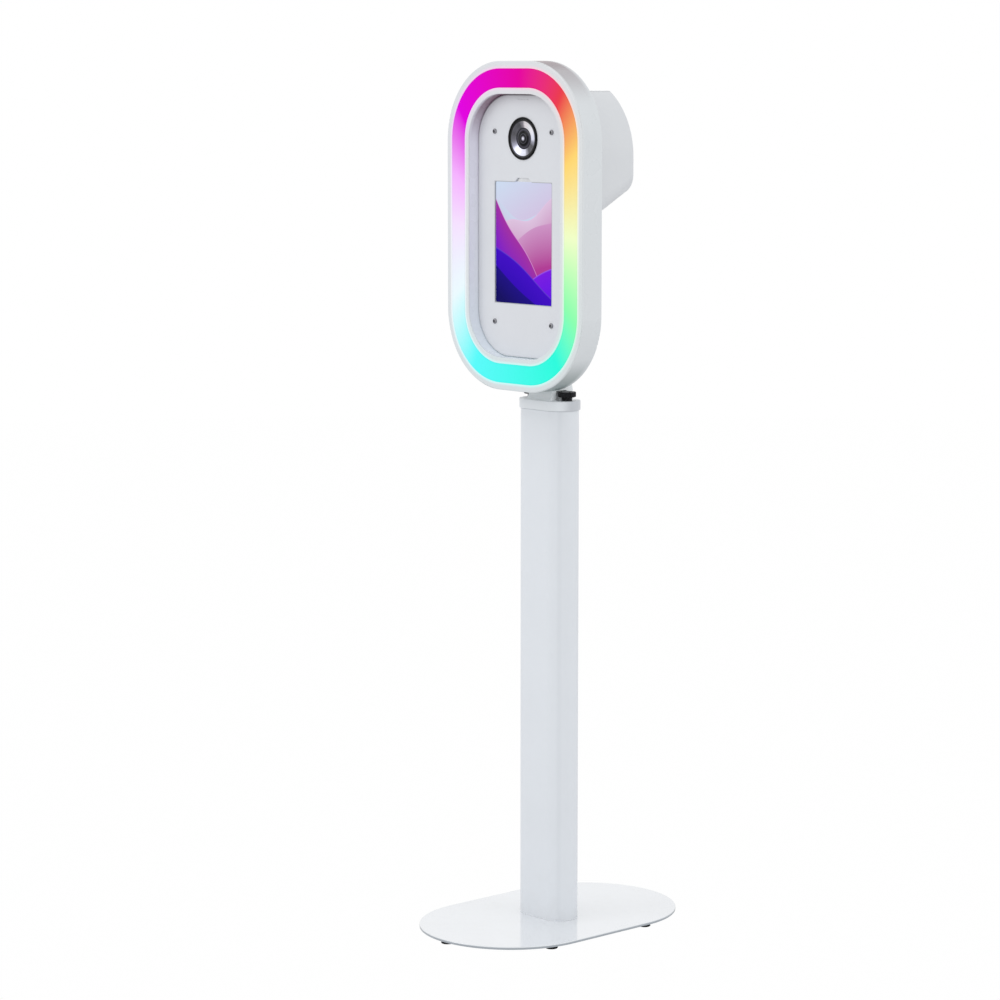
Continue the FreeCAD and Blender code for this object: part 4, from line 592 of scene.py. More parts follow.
def cone_finish(name):
    """Polished spun metal: fine turning rings, and a painted fan of light and dark standing for
    what the rings reflect.
    """
    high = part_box("lens_port_cone")[1]
    r = Recipe(name, Metallic=0.45, IOR=1.5)
    reach, turn = r.round_axis("lens_port_cone")
    # Painted reflection: light and dark sectors round the axis.
    fan = r.ramp(r.remap(turn, -math.pi, math.pi), [
        (0.0, tone(70, 68, 78)), (0.07, tone(120, 120, 138)), (0.13, tone(222, 224, 246)),
        (0.28, tone(238, 240, 254)), (0.31, tone(150, 150, 162)), (0.35, tone(46, 45, 52)),
        (0.42, tone(40, 38, 44)), (0.455, tone(130, 130, 146)), (0.50, tone(226, 228, 246)),
        (0.62, tone(252, 250, 255)), (0.72, tone(250, 240, 244)), (0.76, tone(126, 118, 126)),
        (0.81, tone(36, 34, 40)), (0.89, tone(62, 60, 68)), (0.95, tone(34, 32, 38)),
        (1.0, tone(70, 68, 78))], "EASE")
    rings = r.turning(reach, 2600.0, 2.0)
    bands = r.remap(r.sum("SINE", r.times(reach, 900.0)), -1.0, 1.0, 0.0, 0.14)
    colour = r.mix(bands, fan, tone(88, 86, 96))
    colour = r.mix(r.remap(rings, 0.3, 0.7, 0.0, 0.15), colour, tone(230, 230, 240))
    rim = r.remap(reach, high.x - 0.0034, high.x - 0.0026, 0.0, 0.96)
    r.set("Base Color", r.mix(rim, colour, tone(12, 12, 14)))
    r.set("Roughness", r.remap(rings, 0.3, 0.7, 0.12, 0.24))
    r.set("Normal", r.bump(rings, 0.00003, 0.5))
    return r.material


def turned_black(name, base, rough, node, pitch=5200.0):
    """Black anodised or moulded rings turned about the lens axis."""
    r = Recipe(name, IOR=1.5, Specular_IOR_Level=0.12)
    reach, _ = r.round_axis(node)
    rings = r.turning(reach, pitch, 1.0)
    r.set("Base Color", r.mix(r.remap(rings, 0.35, 0.7, 0.0, 0.4), (*base, 1.0), scaled(base, 1.9)))
    r.set("Roughness", r.remap(r.noise(80.0, 2.0), 0.3, 0.7, rough - 0.05, rough + 0.08))
    r.set("Normal", r.bump(rings, 0.00002, 0.4))
    return r.material


def coated_glass(name):
    """The camera lens: dark glass with painted nested rings, which stand for the lens's inner rings
    and their reflections, a painted highlight at its middle and a faint coating sheen.
    """
    r = Recipe(name, IOR=1.5, Specular_IOR_Level=0.12)
    reach, _ = r.round_axis("lens_front_glass")
    # Painted highlight at the middle, and painted rings for the lens's inner rings and their
    # reflections.
    colour = r.ramp(r.remap(reach, 0.0, 0.020), [
        (0.0, tone(240, 240, 250)), (0.10, tone(214, 212, 226)), (0.19, tone(120, 118, 130)),
        (0.25, tone(30, 30, 36)), (0.38, tone(14, 14, 18)), (0.44, tone(78, 77, 86)),
        (0.50, tone(16, 16, 20)), (0.66, tone(12, 12, 15)), (0.74, tone(52, 51, 60)),
        (0.84, tone(78, 76, 86)), (0.92, tone(34, 33, 40)), (1.0, tone(70, 69, 78))])
    r.set("Base Color", colour)
    r.set("Roughness", r.remap(r.noise(140.0, 3.0), 0.4, 0.75, 0.04, 0.14))
    r.set("Normal", r.bump(r.noise(40.0, 1.0), 0.00001, 0.1))
    return r.material


def coated_dark(name):
    """A dark cover glass with smudges."""
    r = Recipe(name, IOR=1.5, Coat_Weight=0.5, Coat_Roughness=0.03)
    smudge = r.noise(85.0, 4.0)
    r.set("Base Color", r.mix(r.remap(smudge, 0.4, 0.75, 0.0, 0.3), tone(10, 10, 14),
                              tone(34, 36, 42)))
    r.set("Roughness", r.remap(smudge, 0.4, 0.75, 0.06, 0.24))
    r.set("Normal", r.bump(smudge, 0.00001, 0.1))
    return r.material


def door_paint(name):
    """The shells' white, a little darker."""
    white = scaled(bpy.context.scene.booth_finish.shell_white, 0.95)[:3]
    return coated(name, white, 0.38, 620.0, 0.00004)


def barrel_black(name):
    """The black of the plastic parts, turned."""
    return turned_black(name, tuple(bpy.context.scene.booth_finish.black), 0.36, "lens_barrel")


def port_black(name):
    """A deeper black, turned."""
    return turned_black(name, (0.002, 0.002, 0.0025), 0.30, "lens_port_ring")


# White (a colour, or a setting's name), roughness, scale and height in metres of
# the orange peel, weight of the gloss coat, painted light and shade, refraction of the coat.
COATED = {
    "white_steel": ("coat_white", 0.36, 620.0, 0.00004, 0.12),
    "base_white": ((0.80, 0.82, 0.85), 0.12, 620.0, 0.00002, 1.0, plate_rim, MIRROR_IOR),
    # A lighter copy of the coated steel's white, standing in for light on the cap; painted shade on
    # its right.
    "cap_white": ((0.88, 0.905, 0.935), 0.36, 620.0, 0.00004, 0.12, cap_shade),
    "column_white": ("coat_white", 0.36, 620.0, 0.00004, 0.12, under_cap),
    # A lighter copy of the coated steel's white, standing in for light on the neck under the head;
    # painted shade towards the head.
    "neck_white": ((0.91, 0.94, 0.95), 0.38, 620.0, 0.00004, 0.0, under_head),
    "white_plastic": ("shell_white", 0.30, 900.0, 0.00002, 0.35, beside_band("outer")),
    "frame_plastic": ("shell_white", 0.30, 900.0, 0.00002, 0.35, beside_band("inner")),
    "panel_white": ("panel_white", 0.46, 1400.0, 0.00003, 0.0, window_line),
    "housing_white": ((0.715, 0.727, 0.745), 0.36, 800.0, 0.00003, 0.15, root_shade),
    "board_white": ((0.78, 0.80, 0.78), 0.4, 1500.0, 0.00002),
    "washer_nylon": ((0.72, 0.70, 0.64), 0.5, 900.0, 0.00003),
    "led_chip": ((0.82, 0.76, 0.48), 0.4, 1500.0, 0.00002),
}

# Roughness, scale and height in metres of the grain, wear.
MOULDED = {
    "rubber_black": (0.72, 1500.0, 0.00008, 0.10),
    "knob_black": (0.42, 2400.0, 0.00004),
    "latch_black": (0.38, 2400.0, 0.00004),
    "inlet_black": (0.46, 2200.0, 0.00004),
    "supply_black": (0.55, 1600.0, 0.00005),
    "camera_black": (0.48, 1700.0, 0.00008),
    "ring_rubber": (0.66, 2000.0, 0.00006),
}

# Colour, roughness, stretch, scale and height in metres of the grain.
EVEN = (1.0, 1.0, 1.0)
METALS = {
    "zinc_steel": ((0.62, 0.62, 0.63), 0.30),
    "hinge_steel": ((0.66, 0.66, 0.67), 0.28, (1.0, 1.0, 9.0)),
    "cradle_steel": ((0.55, 0.56, 0.58), 0.40, (12.0, 1.0, 1.0)),
    # Darker than the screws' bright plating: painted reflection of the dark surroundings in their
    # domes.
    "screw_bright": ((0.30, 0.30, 0.32), 0.16, EVEN, 700.0),
    "cast_insert": ((0.50, 0.50, 0.51), 0.52, EVEN, 300.0, 0.0001),
    "controller_alu": ((0.74, 0.75, 0.76), 0.36, (14.0, 1.0, 1.0)),
    "pin_brass": ((0.80, 0.62, 0.32), 0.25),
    "tablet_silver": ((0.70, 0.71, 0.73), 0.38, EVEN, 2200.0),
    "tablet_keys": ((0.66, 0.67, 0.69), 0.34, EVEN, 2200.0),
}

SPECIAL = {
    "door_white": door_paint,
    "lens_black": barrel_black,
    "ring_black": port_black,
    "cone_bright": cone_finish,
    "camera_glass": coated_dark,
    "lens_glass": coated_glass,
    "diffuser_opal": lit_band,
    "tablet_picture": picture,
}


def new_finish(slot, name):
    """Makes the finish of a slot."""
    s = bpy.context.scene.booth_finish
    if slot in COATED:
        white, *rest = COATED[slot]
        return coated(name, getattr(s, white) if isinstance(white, str) else white, *rest)
    if slot in MOULDED:
        return moulded(name, tuple(s.black), *MOULDED[slot])
    if slot in METALS:
        return metal(name, *METALS[slot])
    return SPECIAL[slot](name)


def finish(slot):
    """The finish of a slot, made the first time it is asked for."""
    name = f"booth_{slot}"
    return bpy.data.materials.get(name) or new_finish(slot, name)


# ---------------------------------------------------------------- shapes

def link(name, mesh):
    """A new object with that mesh, in the scene."""
    obj = bpy.data.objects.new(name, mesh)
    bpy.context.scene.collection.objects.link(obj)
    return obj


def mesh_from(bm, name, outward=True):
    """A bmesh as a mesh, with its faces turned outwards where asked."""
    if outward:
        bmesh.ops.recalc_face_normals(bm, faces=bm.faces)
    mesh = bpy.data.meshes.new(name)
    bm.to_mesh(mesh)
    bm.free()
    return mesh


def baked(obj):
    """Makes what the modifiers give the object's own mesh, and takes them off."""
    bpy.context.view_layer.update()
    depsgraph = bpy.context.evaluated_depsgraph_get()
    mesh = bpy.data.meshes.new_from_object(
        obj.evaluated_get(depsgraph), preserve_all_data_layers=True, depsgraph=depsgraph)
    obj.modifiers.clear()
    obj.data = mesh
    mesh.name = obj.name
    return mesh


def smoothed(obj, sharp=42.0):
    """Shades by angle, with flat faces kept flat beside rounded edges."""
    obj.data.shade_smooth()
    obj.data.set_sharp_from_angle(angle=math.radians(sharp))
    weigh = obj.modifiers.new("weigh", "WEIGHTED_NORMAL")
    weigh.keep_sharp = True
    weigh.weight = 60
    baked(obj)


def settle(obj, nodes, slot=None, material=None):
    """Gives a finished piece its finish and its body, and hides the nodes that it stands for."""
    slot = slot or SLOTS[nodes[0]]
    obj.data.materials.clear()
    obj.data.materials.append(material or finish(slot))
    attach(obj, BODIES[nodes[0]])
    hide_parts(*nodes)
    return obj


def clean_copy(node):
    """A node's shape as joined faces: doubles merged and flat runs made one face."""
    bm = bmesh.new()
    bm.from_mesh(NODES[node].data)
    bmesh.ops.remove_doubles(bm, verts=bm.verts, dist=2e-6)
    bmesh.ops.dissolve_degenerate(bm, edges=bm.edges, dist=1e-6)
    bmesh.ops.dissolve_limit(bm, angle_limit=math.radians(0.3), verts=bm.verts, edges=bm.edges)
    return bm


def refined(node, edge=0.0, steps=3, angle=32.0, material=None):
    """A finer copy of a node; its sharp edges are rounded where edge is given.

    Edges shorter than the rounding, such as a small hole's, stay as they are.
    """
    bm = clean_copy(node)
    weight = bm.edges.layers.float.new("bevel_weight_edge")
    for e in bm.edges:
        if edge and len(e.link_faces) == 2 and e.calc_length() > edge * SHORTEST_EDGE:
            e[weight] = float(e.calc_face_angle() > math.radians(angle))
    obj = link(f"fine_{node}", mesh_from(bm, f"fine_{node}", outward=False))
    if edge:
        bevel = obj.modifiers.new("edges", "BEVEL")
        bevel.width = edge
        bevel.segments = steps
        bevel.limit_method = "WEIGHT"
        bevel.use_clamp_overlap = False
        baked(obj)
        low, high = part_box(node)
        slack = max(max(low[i] - v.co[i], v.co[i] - high[i])
                    for v in obj.data.vertices for i in range(3))
        if slack > EDGE_SLACK:
            print(f"{node}: rounding left its box by {slack * 1000:.2f} mm, so its edges stay")
            bpy.data.objects.remove(obj)
            return refined(node, material=material)
    smoothed(obj)
    return settle(obj, [node], material=material)


def solids_of(node):
    """Lowest and highest corner of each separate solid of a node."""
    bm = bmesh.new()
    bm.from_mesh(NODES[node].data)
    bmesh.ops.remove_doubles(bm, verts=bm.verts, dist=2e-6)
    left, found = set(bm.verts), []
    while left:
        group, edge = set(), [left.pop()]
        while edge:
            v = edge.pop()
            group.add(v)
            for e in v.link_edges:
                other = e.other_vert(v)
                if other in left:
                    left.discard(other)
                    edge.append(other)
        found.append((Vector([min(v.co[i] for v in group) for i in range(3)]),
                      Vector([max(v.co[i] for v in group) for i in range(3)])))
    bm.free()
    return sorted(found, key=lambda pair: tuple(round(c, 4) for c in pair[0]))


def turned_mesh(name, profile, segments=96):
    """A closed shape turned about Z from (radius, height) points, listed once round."""
    bm = bmesh.new()
    loops = []
    for radius, height in profile:
        if radius < 1e-7:
            loops.append([bm.verts.new((0, 0, height))] * segments)
            continue
        loops.append([bm.verts.new((radius * math.cos(2 * math.pi * k / segments),
                                    radius * math.sin(2 * math.pi * k / segments), height))
                      for k in range(segments)])
    on_axis = profile[0][0] < 1e-7
    pairs = list(zip(loops, loops[1:])) + ([] if on_axis else [(loops[-1], loops[0])])
    for a, b in pairs:
        for k in range(segments):
            corners = []
            for v in (a[k], a[(k + 1) % segments], b[(k + 1) % segments], b[k]):
                if v not in corners:
                    corners.append(v)
            if len(corners) > 2:
                bm.faces.new(corners)
    return mesh_from(bm, name)


def placed(mesh, matrix):
    """Moves a mesh's points, so that its object stays at the origin."""
    mesh.transform(matrix)
    mesh.update()
    return mesh


def new_tree(name, inputs, kinds, wires):
    """A node group and its nodes by short name, with what every group here ends in.

    An input is (name, kind, default), a node (kind, settings) and a link (giver,
    output, taker, input).
    """
    tree = bpy.data.node_groups.new(name, "GeometryNodeTree")
    for label, kind, default in inputs:
        socket = tree.interface.new_socket(label, in_out="INPUT",
                                           socket_type=f"NodeSocket{kind}")
        if default is not None:
            socket.default_value = default
    tree.interface.new_socket("Geometry", in_out="OUTPUT", socket_type="NodeSocketGeometry")
    nodes = {}
    for label, (kind, settings) in (SPREAD_NODES | kinds).items():
        nodes[label] = tree.nodes.new(kind)
        for key, value in settings.items():
            setattr(nodes[label], key, value)
    for giver, output, taker, socket in wires + SPREAD_LINKS:
        tree.links.new(nodes[giver].outputs[output], nodes[taker].inputs[socket])
    return tree, nodes


# What both groups share: shapes set at points, made real and given a finish.
SPREAD_NODES = {
    "start": ("NodeGroupInput", {}),
    "end": ("NodeGroupOutput", {}),
    "euler": ("FunctionNodeEulerToRotation", {}),
    "spread": ("GeometryNodeInstanceOnPoints", {}),
    "real": ("GeometryNodeRealizeInstances", {}),
    "paint": ("GeometryNodeSetMaterial", {}),
}
SPREAD_LINKS = (
    ("euler", 0, "spread", "Rotation"), ("spread", "Instances", "real", "Geometry"),
    ("start", "Finish", "paint", "Material"), ("paint", "Geometry", "end", "Geometry"),
)


def repeat_tree():
    """Nodes that set a shape at each point, turned as the point says."""
    tree = bpy.data.node_groups.get("booth_repeat")
    if tree:
        return tree
    tree, nodes = new_tree("booth_repeat", (
        ("Points", "Geometry", None), ("Shape", "Object", None), ("Size", "Float", 1.0),
        ("Finish", "Material", None),
    ), {
        "shape": ("GeometryNodeObjectInfo", {}),
        "turn": ("GeometryNodeInputNamedAttribute", {"data_type": "FLOAT_VECTOR"}),
    }, (
        ("start", "Shape", "shape", "Object"), ("start", "Points", "spread", "Points"),
        ("shape", "Geometry", "spread", "Instance"), ("turn", "Attribute", "euler", 0),
        ("start", "Size", "spread", "Scale"), ("real", "Geometry", "paint", "Geometry"),
    ))
    nodes["turn"].inputs["Name"].default_value = "turn"
    return tree


def rib_tree():
    """Nodes that set ribs evenly round a turned body and join them to it."""
    tree = bpy.data.node_groups.get("booth_ribs")
    if tree:
        return tree
    tree, nodes = new_tree("booth_ribs", (
        ("Body", "Geometry", None), ("Rib", "Object", None), ("Count", "Int", 60),
        ("Radius", "Float", 0.03), ("Centre", "Vector", None), ("Axis turn", "Vector", None),
        ("Finish", "Material", None),
    ), {
        "circle": ("GeometryNodeMeshCircle", {}),
        "rib": ("GeometryNodeObjectInfo", {}),
        "index": ("GeometryNodeInputIndex", {}),
        "share": ("ShaderNodeMath", {"operation": "DIVIDE"}),
        "turn": ("ShaderNodeMath", {"operation": "MULTIPLY"}),
        "aim": ("ShaderNodeCombineXYZ", {}),
        "move": ("GeometryNodeTransform", {}),
        "both": ("GeometryNodeJoinGeometry", {}),
    }, (
        ("start", "Count", "circle", "Vertices"), ("start", "Radius", "circle", "Radius"),
        ("start", "Rib", "rib", "Object"), ("index", 0, "share", 0),
        ("start", "Count", "share", 1), ("share", 0, "turn", 0), ("turn", 0, "aim", "Z"),
        ("aim", 0, "euler", 0), ("circle", "Mesh", "spread", "Points"),
        ("rib", "Geometry", "spread", "Instance"), ("real", "Geometry", "move", "Geometry"),
        ("start", "Centre", "move", "Translation"), ("start", "Axis turn", "move", "Rotation"),
        ("move", "Geometry", "both", 0), ("start", "Body", "both", 0),
        ("both", 0, "paint", "Geometry"),
    ))
    nodes["turn"].inputs[1].default_value = 2 * math.pi
    return tree


def grown(obj, tree, **values):
    """Runs a node group on an object with those inputs, and bakes the result."""
    grow = obj.modifiers.new("grow", "NODES")
    grow.node_group = tree
    named = {item.name: item.identifier for item in tree.interface.items_tree
             if getattr(item, "in_out", "") == "INPUT"}
    for name, value in values.items():
        grow[named[name.replace("_", " ")]] = value
    baked(obj)
    return obj


def pattern(mesh):
    """A hidden helper object that holds a shape to be repeated."""
    obj = link(f"pattern_{mesh.name}", mesh)
    obj.hide_render = True
    return obj


def drop(obj):
    """Takes a helper object away again."""
    bpy.data.objects.remove(obj, do_unlink=True)


def ribbed(node, body, rib, count, radius, centre, axis_turn=(0.0, 0.0, 0.0)):
    """A turned body with ribs round it, standing for a node."""
    helper = pattern(rib)
    obj = grown(link(f"fine_{node}", body), rib_tree(), Rib=helper, Count=count, Radius=radius,
                Centre=centre, Axis_turn=axis_turn, Finish=finish(SLOTS[node]))
    drop(helper)
    smoothed(obj)
    settle(obj, [node])


def repeated(name, shape, spots, nodes):
    """One piece made of a shape at each spot (place, turn), standing for those nodes."""
    mesh = bpy.data.meshes.new(name)
    mesh.from_pydata([tuple(place) for place, _ in spots], [], [])
    turns = mesh.attributes.new("turn", "FLOAT_VECTOR", "POINT")
    for k, (_, turn) in enumerate(spots):
        turns.data[k].vector = turn
    obj = link(name, mesh)
    helper = pattern(shape)
    grown(obj, repeat_tree(), Shape=helper, Size=1.0, Finish=finish(SLOTS[nodes[0]]))
    drop(helper)
    smoothed(obj)
    return settle(obj, nodes)


def socket_screw(name, radius, crown, socket, depth, shank, length):
    """A domed screw with a six-sided socket; the head stands on z = 0 and points up."""
    bm = bmesh.new()
    sides, per_side = 6, 8
    count = sides * per_side

    def hexagon(k):
        angle = 2 * math.pi * k / count
        inside = (angle % (math.pi / 3)) - math.pi / 6
        return math.cos(math.pi / 6) / math.cos(inside)

    def ring(r, z, hexed=False):
        return [bm.verts.new((r * (hexagon(k) if hexed else 1) * math.cos(2 * math.pi * k / count),
                              r * (hexagon(k) if hexed else 1) * math.sin(2 * math.pi * k / count),
                              z)) for k in range(count)]

    rings = [ring(socket * 0.96, crown - depth, True), ring(socket, crown - 0.0002, True),
             ring(socket * 1.05, crown, True)]
    for k in range(1, 8):
        t = k / 8
        angle = t * math.pi / 2
        r = socket * 1.12 + (radius - socket * 1.12) * math.sin(angle)
        rings.append(ring(r, crown * (0.16 + 0.84 * math.cos(angle))))
    rings += [ring(radius, 0.0), ring(shank, 0.0), ring(shank, -length)]
    for a, b in zip(rings, rings[1:]):
        for k in range(count):
            bm.faces.new((a[k], a[(k + 1) % count], b[(k + 1) % count], b[k]))
    bm.faces.new(rings[0])
    bm.faces.new(rings[-1])
    return mesh_from(bm, name)


def rib_mesh(name, length, width, height):
    """One rounded rib along Z; its foot is at x = 0 and it stands out along X."""
    half, end = width / 2, length / 2
    outline = [(-height * 0.5, -half), (height * 0.55, -half * 0.8), (height, -half * 0.35),
               (height, half * 0.35), (height * 0.55, half * 0.8), (-height * 0.5, half)]
    bm = bmesh.new()
    rows = []
    slope = height * 0.7
    for z, sink in ((-end, 0.45), (-end + slope, 1.0), (end - slope, 1.0), (end, 0.45)):
        rows.append([bm.verts.new((x * sink if x > 0 else x, y, z)) for x, y in outline])
    for a, b in zip(rows, rows[1:]):
        for k in range(len(outline)):
            j = (k + 1) % len(outline)
            bm.faces.new((a[k], a[j], b[j], b[k]))
    bm.faces.new(rows[0])
    bm.faces.new(rows[-1])
    return mesh_from(bm, name)


# ---------------------------------------------------------------- operators

class BOOTH_OT_head(bpy.types.Operator):
    """Make the head's shell and the rounded inner frame, with the band's glow on them"""
    bl_idname = "booth.head"
    bl_label = "Head shell and inner frame"

    def execute(self, context):
        edge = context.scene.booth_shape.shell_edge
        refined("head_shell")
        refined("inner_frame", edge, material=finish("frame_plastic"))
        return {"FINISHED"}


class BOOTH_OT_band(bpy.types.Operator):
    """Make the lit opal band"""
    bl_idname = "booth.band"
    bl_label = "Light band"

    def execute(self, context):
        refined("led_diffuser", context.scene.booth_shape.fine_edge, steps=2)
        return {"FINISHED"}


class BOOTH_OT_panel(bpy.types.Operator):
    """Make the recessed front panel with its window, lens hole and sound holes"""
    bl_idname = "booth.panel"
    bl_label = "Front panel"

    def execute(self, context):
        refined("front_panel", context.scene.booth_shape.fine_edge)
        return {"FINISHED"}


class BOOTH_OT_panel_screws(bpy.types.Operator):
    """Set a domed socket screw at each fixing of the front panel"""
    bl_idname = "booth.panel_screws"
    bl_label = "Panel screws"

    def execute(self, context):
        s = context.scene.booth_shape
        solids = solids_of("panel_screws")
        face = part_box("front_panel")[0].y
        spots = [(((low.x + high.x) / 2, face, (low.z + high.z) / 2), (math.pi / 2, 0.3 * k, 0.0))
                 for k, (low, high) in enumerate(solids)]
        low, high = solids[0]
        crown = min(s.screw_crown, face - low.y)
        screw = socket_screw("panel_screw", (high.x - low.x) / 2, crown, s.socket_width,
                             crown * 0.8, (high.x - low.x) / 4, high.y - face)
        repeated("panel_screws_fine", screw, spots, ["panel_screws"])
        return {"FINISHED"}


class BOOTH_OT_port(bpy.types.Operator):
    """Make the camera's port: the black ring, the spun cone and the glass"""
    bl_idname = "booth.port"
    bl_label = "Lens port"

    def execute(self, context):
        refined("lens_port_ring", 0.0007, steps=3)
        refined("lens_port_cone")
        refined("port_glass")
        return {"FINISHED"}


class BOOTH_OT_camera(bpy.types.Operator):
    """Make the camera's body and display, its barrel, ribbed lens rings and dial"""
    bl_idname = "booth.camera"
    bl_label = "Camera and lens"

    def execute(self, context):
        s = context.scene.booth_shape
        refined("camera_body")
        refined("camera_display", s.fine_edge, steps=2)
        refined("lens_barrel", s.fine_edge, steps=2)
        for node in ("zoom_ring", "focus_ring"):
            low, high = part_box(node)
            middle = (low + high) / 2
            outer, length = high.x, high.y - low.y
            core, bore = outer - s.rib_height, outer - RING_WALL
            half = length / 2
            width = 2 * math.pi * outer / s.rib_count * RIB_FILL
            profile = [(bore, -half), (bore, half), (core - 0.0005, half), (core, half - 0.0005),
                       (core, -half + 0.0005), (core - 0.0005, -half)]
            upright = Matrix.Translation(middle) @ Matrix.Rotation(math.pi / 2, 4, "X")
            body = placed(turned_mesh(node, profile), upright)
            ribbed(node, body, rib_mesh("rib", length - RIB_MARGIN, width, s.rib_height),
                   s.rib_count, core, middle, (math.pi / 2, 0.0, 0.0))
        low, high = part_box("mode_dial")
        middle = (low + high) / 2
        outer, half = (high.x - low.x) / 2, (high.z - low.z) / 2
        core = outer - DIAL_RIB_HEIGHT
        profile = [(0, -half), (core - 0.0004, -half), (core, -half + 0.0004),
                   (core, half - 0.001), (core - 0.001, half), (core - 0.0022, half),
                   (core - 0.0026, half - 0.0003), (0, half - 0.0003)]
        body = placed(turned_mesh("mode_dial", profile, 64), Matrix.Translation(middle))
        rib = rib_mesh("knurl", 2 * half - RIB_MARGIN, DIAL_RIB_WIDTH, DIAL_RIB_HEIGHT)
        ribbed("mode_dial", body, rib, DIAL_RIBS, core, middle - Vector((0, 0, 0.0004)))
        return {"FINISHED"}


class BOOTH_OT_tablet(bpy.types.Operator):
    """Make the tablet, its keys and its cradle"""
    bl_idname = "booth.tablet"
    bl_label = "Tablet"

    def execute(self, context):
        edge = context.scene.booth_shape.fine_edge
        refined("tablet_body")
        for node in ("tablet_cradle", "tablet_power_key", "tablet_volume_key"):
            refined(node, edge, steps=2)
        return {"FINISHED"}


class BOOTH_OT_housing(bpy.types.Operator):
    """Make the camera housing, its door and hinge, the inlet and what hangs inside"""
    bl_idname = "booth.housing"
    bl_label = "Camera housing"

    def execute(self, context):
        s = context.scene.booth_shape
        refined("camera_housing")
        refined("rear_door", s.steel_edge)
        for node in ("door_hinge_leaves", "door_hinge_pin", "power_inlet", "rocker_switch",
                     "camera_shelf"):
            refined(node, s.fine_edge, steps=2)
        refined("power_supply")
        refined("led_controller")
        return {"FINISHED"}


class BOOTH_OT_stand(bpy.types.Operator):
    """Make the base plate, column, cap, neck and tilt bracket"""
    bl_idname = "booth.stand"
    bl_label = "Stand"

    def execute(self, context):
        s = context.scene.booth_shape
        refined("base_plate", material=finish("base_white"))
        refined("column_tube", s.fine_edge, steps=2, material=finish("column_white"))
        refined("column_cap", material=finish("cap_white"))
        refined("neck_yoke", material=finish("neck_white"))
        refined("tilt_bracket", s.steel_edge)
        return {"FINISHED"}


class BOOTH_OT_feet(bpy.types.Operator):
    """Set the ringed rubber feet under the base"""
    bl_idname = "booth.feet"
    bl_label = "Rubber feet"

    def execute(self, context):
        solids = solids_of("rubber_feet")
        low, high = solids[0]
        radius, height = (high.x - low.x) / 2, high.z - low.z
        screw = max((b.x - a.x) / 2 for a, b in solids_of("foot_screws"))
        hole = screw + SCREW_PLAY
        profile = [(hole, 0.0), (hole, height), (radius - 0.0006, height)]
        profile += [(radius, height - 0.0006), (radius - 0.0004, height * 0.62),
                    (radius - 0.0008, height * 0.5), (radius - 0.0004, height * 0.4)]
        profile += [(radius, height * 0.3), (radius - 0.0004, 0.0006), (radius - 0.0012, 0.0)]
        foot = turned_mesh("foot", profile, 48)
        spots = [(((a.x + b.x) / 2, (a.y + b.y) / 2, a.z), (0.0, 0.0, 0.0)) for a, b in solids]
        repeated("rubber_feet_fine", foot, spots, ["rubber_feet"])
        return {"FINISHED"}


class BOOTH_OT_finishes(bpy.types.Operator):
    """Give every part that is shown as drawn its detailed finish"""
    bl_idname = "booth.finishes"
    bl_label = "Finishes of the other parts"

    def execute(self, context):
        for node, obj in NODES.items():
            obj.material_slots[0].link = "OBJECT"
            obj.material_slots[0].material = finish(SLOTS[node])
        return {"FINISHED"}


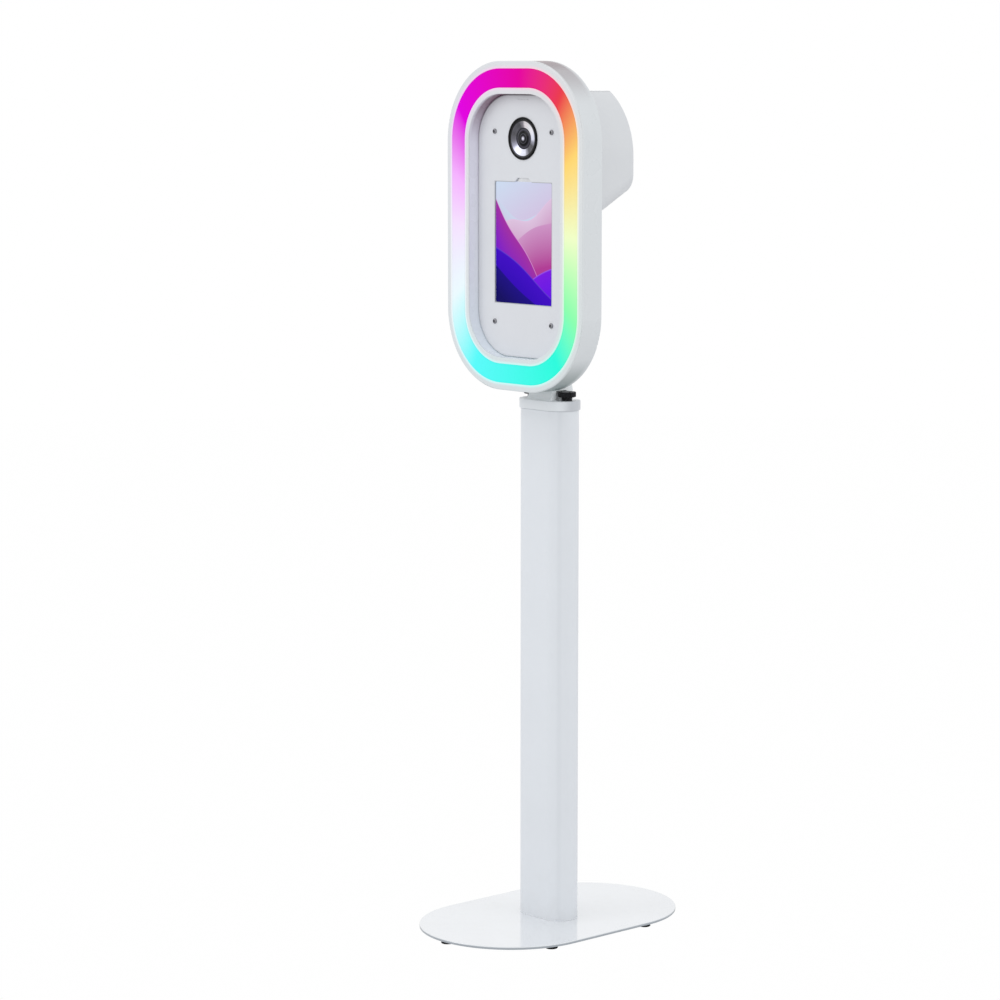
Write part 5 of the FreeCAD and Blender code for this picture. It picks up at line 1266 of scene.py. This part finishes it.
class BOOTH_OT_stage(bpy.types.Operator):
    """Set the floor, the light and the camera"""
    bl_idname = "booth.stage"
    bl_label = "Stage"

    def execute(self, context):
        s = context.scene.booth_stage
        self.floor()
        self.sky(s.sky)
        self.lamp("key_lamp", KEY_PLACE, s.key, KEY_SIZE)
        self.lamp("fill_lamp", FILL_PLACE, s.fill, FILL_SIZE)
        data = bpy.data.cameras.new("booth_camera")
        data.sensor_width = 36
        data.lens = s.camera_lens
        data.clip_end = 100
        camera = link("booth_camera", data)
        camera.location = s.camera_place
        camera.rotation_euler = s.camera_turn
        context.scene.camera = camera
        context.scene.view_settings.view_transform = "Standard"
        context.scene.view_settings.look = "None"
        return {"FINISHED"}

    def floor(self):
        """A white floor for the camera, and a greyer one that light bounces off."""
        seen = self.disc("floor", 0.0)
        paper = Recipe("booth_floor", Specular_IOR_Level=0.0, Emission_Strength=1.0)
        speck = paper.noise(30.0, 3.0)
        paper.set("Base Color", BLACK)
        paper.set("Emission Color", paper.mix(speck, (0.995, 0.995, 0.995, 1), WHITE))
        seen.data.materials.append(paper.material)
        seen.visible_diffuse = seen.visible_glossy = seen.visible_shadow = False
        bounce = self.disc("floor_bounce", -BOUNCE_DROP)
        matt = Recipe("booth_floor_bounce")
        speck = matt.noise(30.0, 3.0)
        matt.set("Base Color", matt.mix(speck, (0.72, 0.72, 0.725, 1), (0.76, 0.76, 0.765, 1)))
        matt.set("Roughness", matt.remap(speck, 0.3, 0.7, 0.75, 0.85))
        bounce.data.materials.append(matt.material)
        bounce.visible_camera = False

    def disc(self, name, height):
        """A large round sheet."""
        bm = bmesh.new()
        bmesh.ops.create_circle(bm, cap_ends=True, radius=FLOOR_RADIUS, segments=96,
                                matrix=Matrix.Translation((0, 0, height)))
        return link(name, mesh_from(bm, name, outward=False))

    def sky(self, strength):
        """A world that is white to the camera and in gloss, and of that strength as light."""
        world = bpy.data.worlds.new("booth_sky")
        world.use_nodes = True
        tree = world.node_tree
        tree.nodes.clear()
        output = tree.nodes.new("ShaderNodeOutputWorld")
        seen, soft = tree.nodes.new("ShaderNodeBackground"), tree.nodes.new("ShaderNodeBackground")
        mix, path = tree.nodes.new("ShaderNodeMixShader"), tree.nodes.new("ShaderNodeLightPath")
        seen.inputs["Color"].default_value = WHITE
        seen.inputs["Strength"].default_value = 1.0
        soft.inputs["Color"].default_value = (0.97, 0.985, 1.0, 1)
        soft.inputs["Strength"].default_value = strength
        bright = tree.nodes.new("ShaderNodeMath")
        bright.operation = "MAXIMUM"
        tree.links.new(path.outputs["Is Camera Ray"], bright.inputs[0])
        tree.links.new(path.outputs["Is Glossy Ray"], bright.inputs[1])
        tree.links.new(bright.outputs[0], mix.inputs[0])
        tree.links.new(soft.outputs[0], mix.inputs[1])
        tree.links.new(seen.outputs[0], mix.inputs[2])
        tree.links.new(mix.outputs[0], output.inputs["Surface"])
        bpy.context.scene.world = world

    def lamp(self, name, place, power, size):
        """A large square lamp that faces the booth."""
        data = bpy.data.lights.new(name, "AREA")
        data.energy = power
        data.size = size
        obj = link(name, data)
        obj.location = place
        aim = Vector(LAMP_TARGET) - Vector(place)
        obj.rotation_euler = aim.to_track_quat("-Z", "Y").to_euler()
        obj.visible_camera = False


class BOOTH_PT_panel(bpy.types.Panel):
    """Lists the steps that make the booth"""
    bl_idname = "BOOTH_PT_panel"
    bl_label = "Photo booth"
    bl_space_type = "VIEW_3D"
    bl_region_type = "UI"
    bl_category = "Booth"

    def draw(self, context):
        column = self.layout.column()
        for step in STEPS:
            column.operator(step.bl_idname)
        for group in (context.scene.booth_shape, context.scene.booth_finish,
                      context.scene.booth_stage):
            box = self.layout.box()
            for name in group.__annotations__:
                box.prop(group, name)


STEPS = (
    BOOTH_OT_head, BOOTH_OT_band, BOOTH_OT_panel, BOOTH_OT_panel_screws, BOOTH_OT_port,
    BOOTH_OT_camera, BOOTH_OT_tablet, BOOTH_OT_housing, BOOTH_OT_stand, BOOTH_OT_feet,
    BOOTH_OT_finishes, BOOTH_OT_stage,
)
GROUPS = {
    "booth_shape": BoothShapeSettings,
    "booth_finish": BoothFinishSettings,
    "booth_stage": BoothStageSettings,
}


def register():
    """Registers the settings, the steps and the panel."""
    for name, group in GROUPS.items():
        bpy.utils.register_class(group)
        setattr(bpy.types.Scene, name, bpy.props.PointerProperty(type=group))
    for step in (*STEPS, BOOTH_PT_panel):
        bpy.utils.register_class(step)


def unregister():
    """Takes them away again."""
    for step in reversed((*STEPS, BOOTH_PT_panel)):
        bpy.utils.unregister_class(step)
    for name, group in GROUPS.items():
        delattr(bpy.types.Scene, name)
        bpy.utils.unregister_class(group)


def main():
    """Makes everything in order."""
    register()
    for step in STEPS:
        family, action = step.bl_idname.split(".")
        getattr(getattr(bpy.ops, family), action)()


if __name__ == "__main__":
    main()
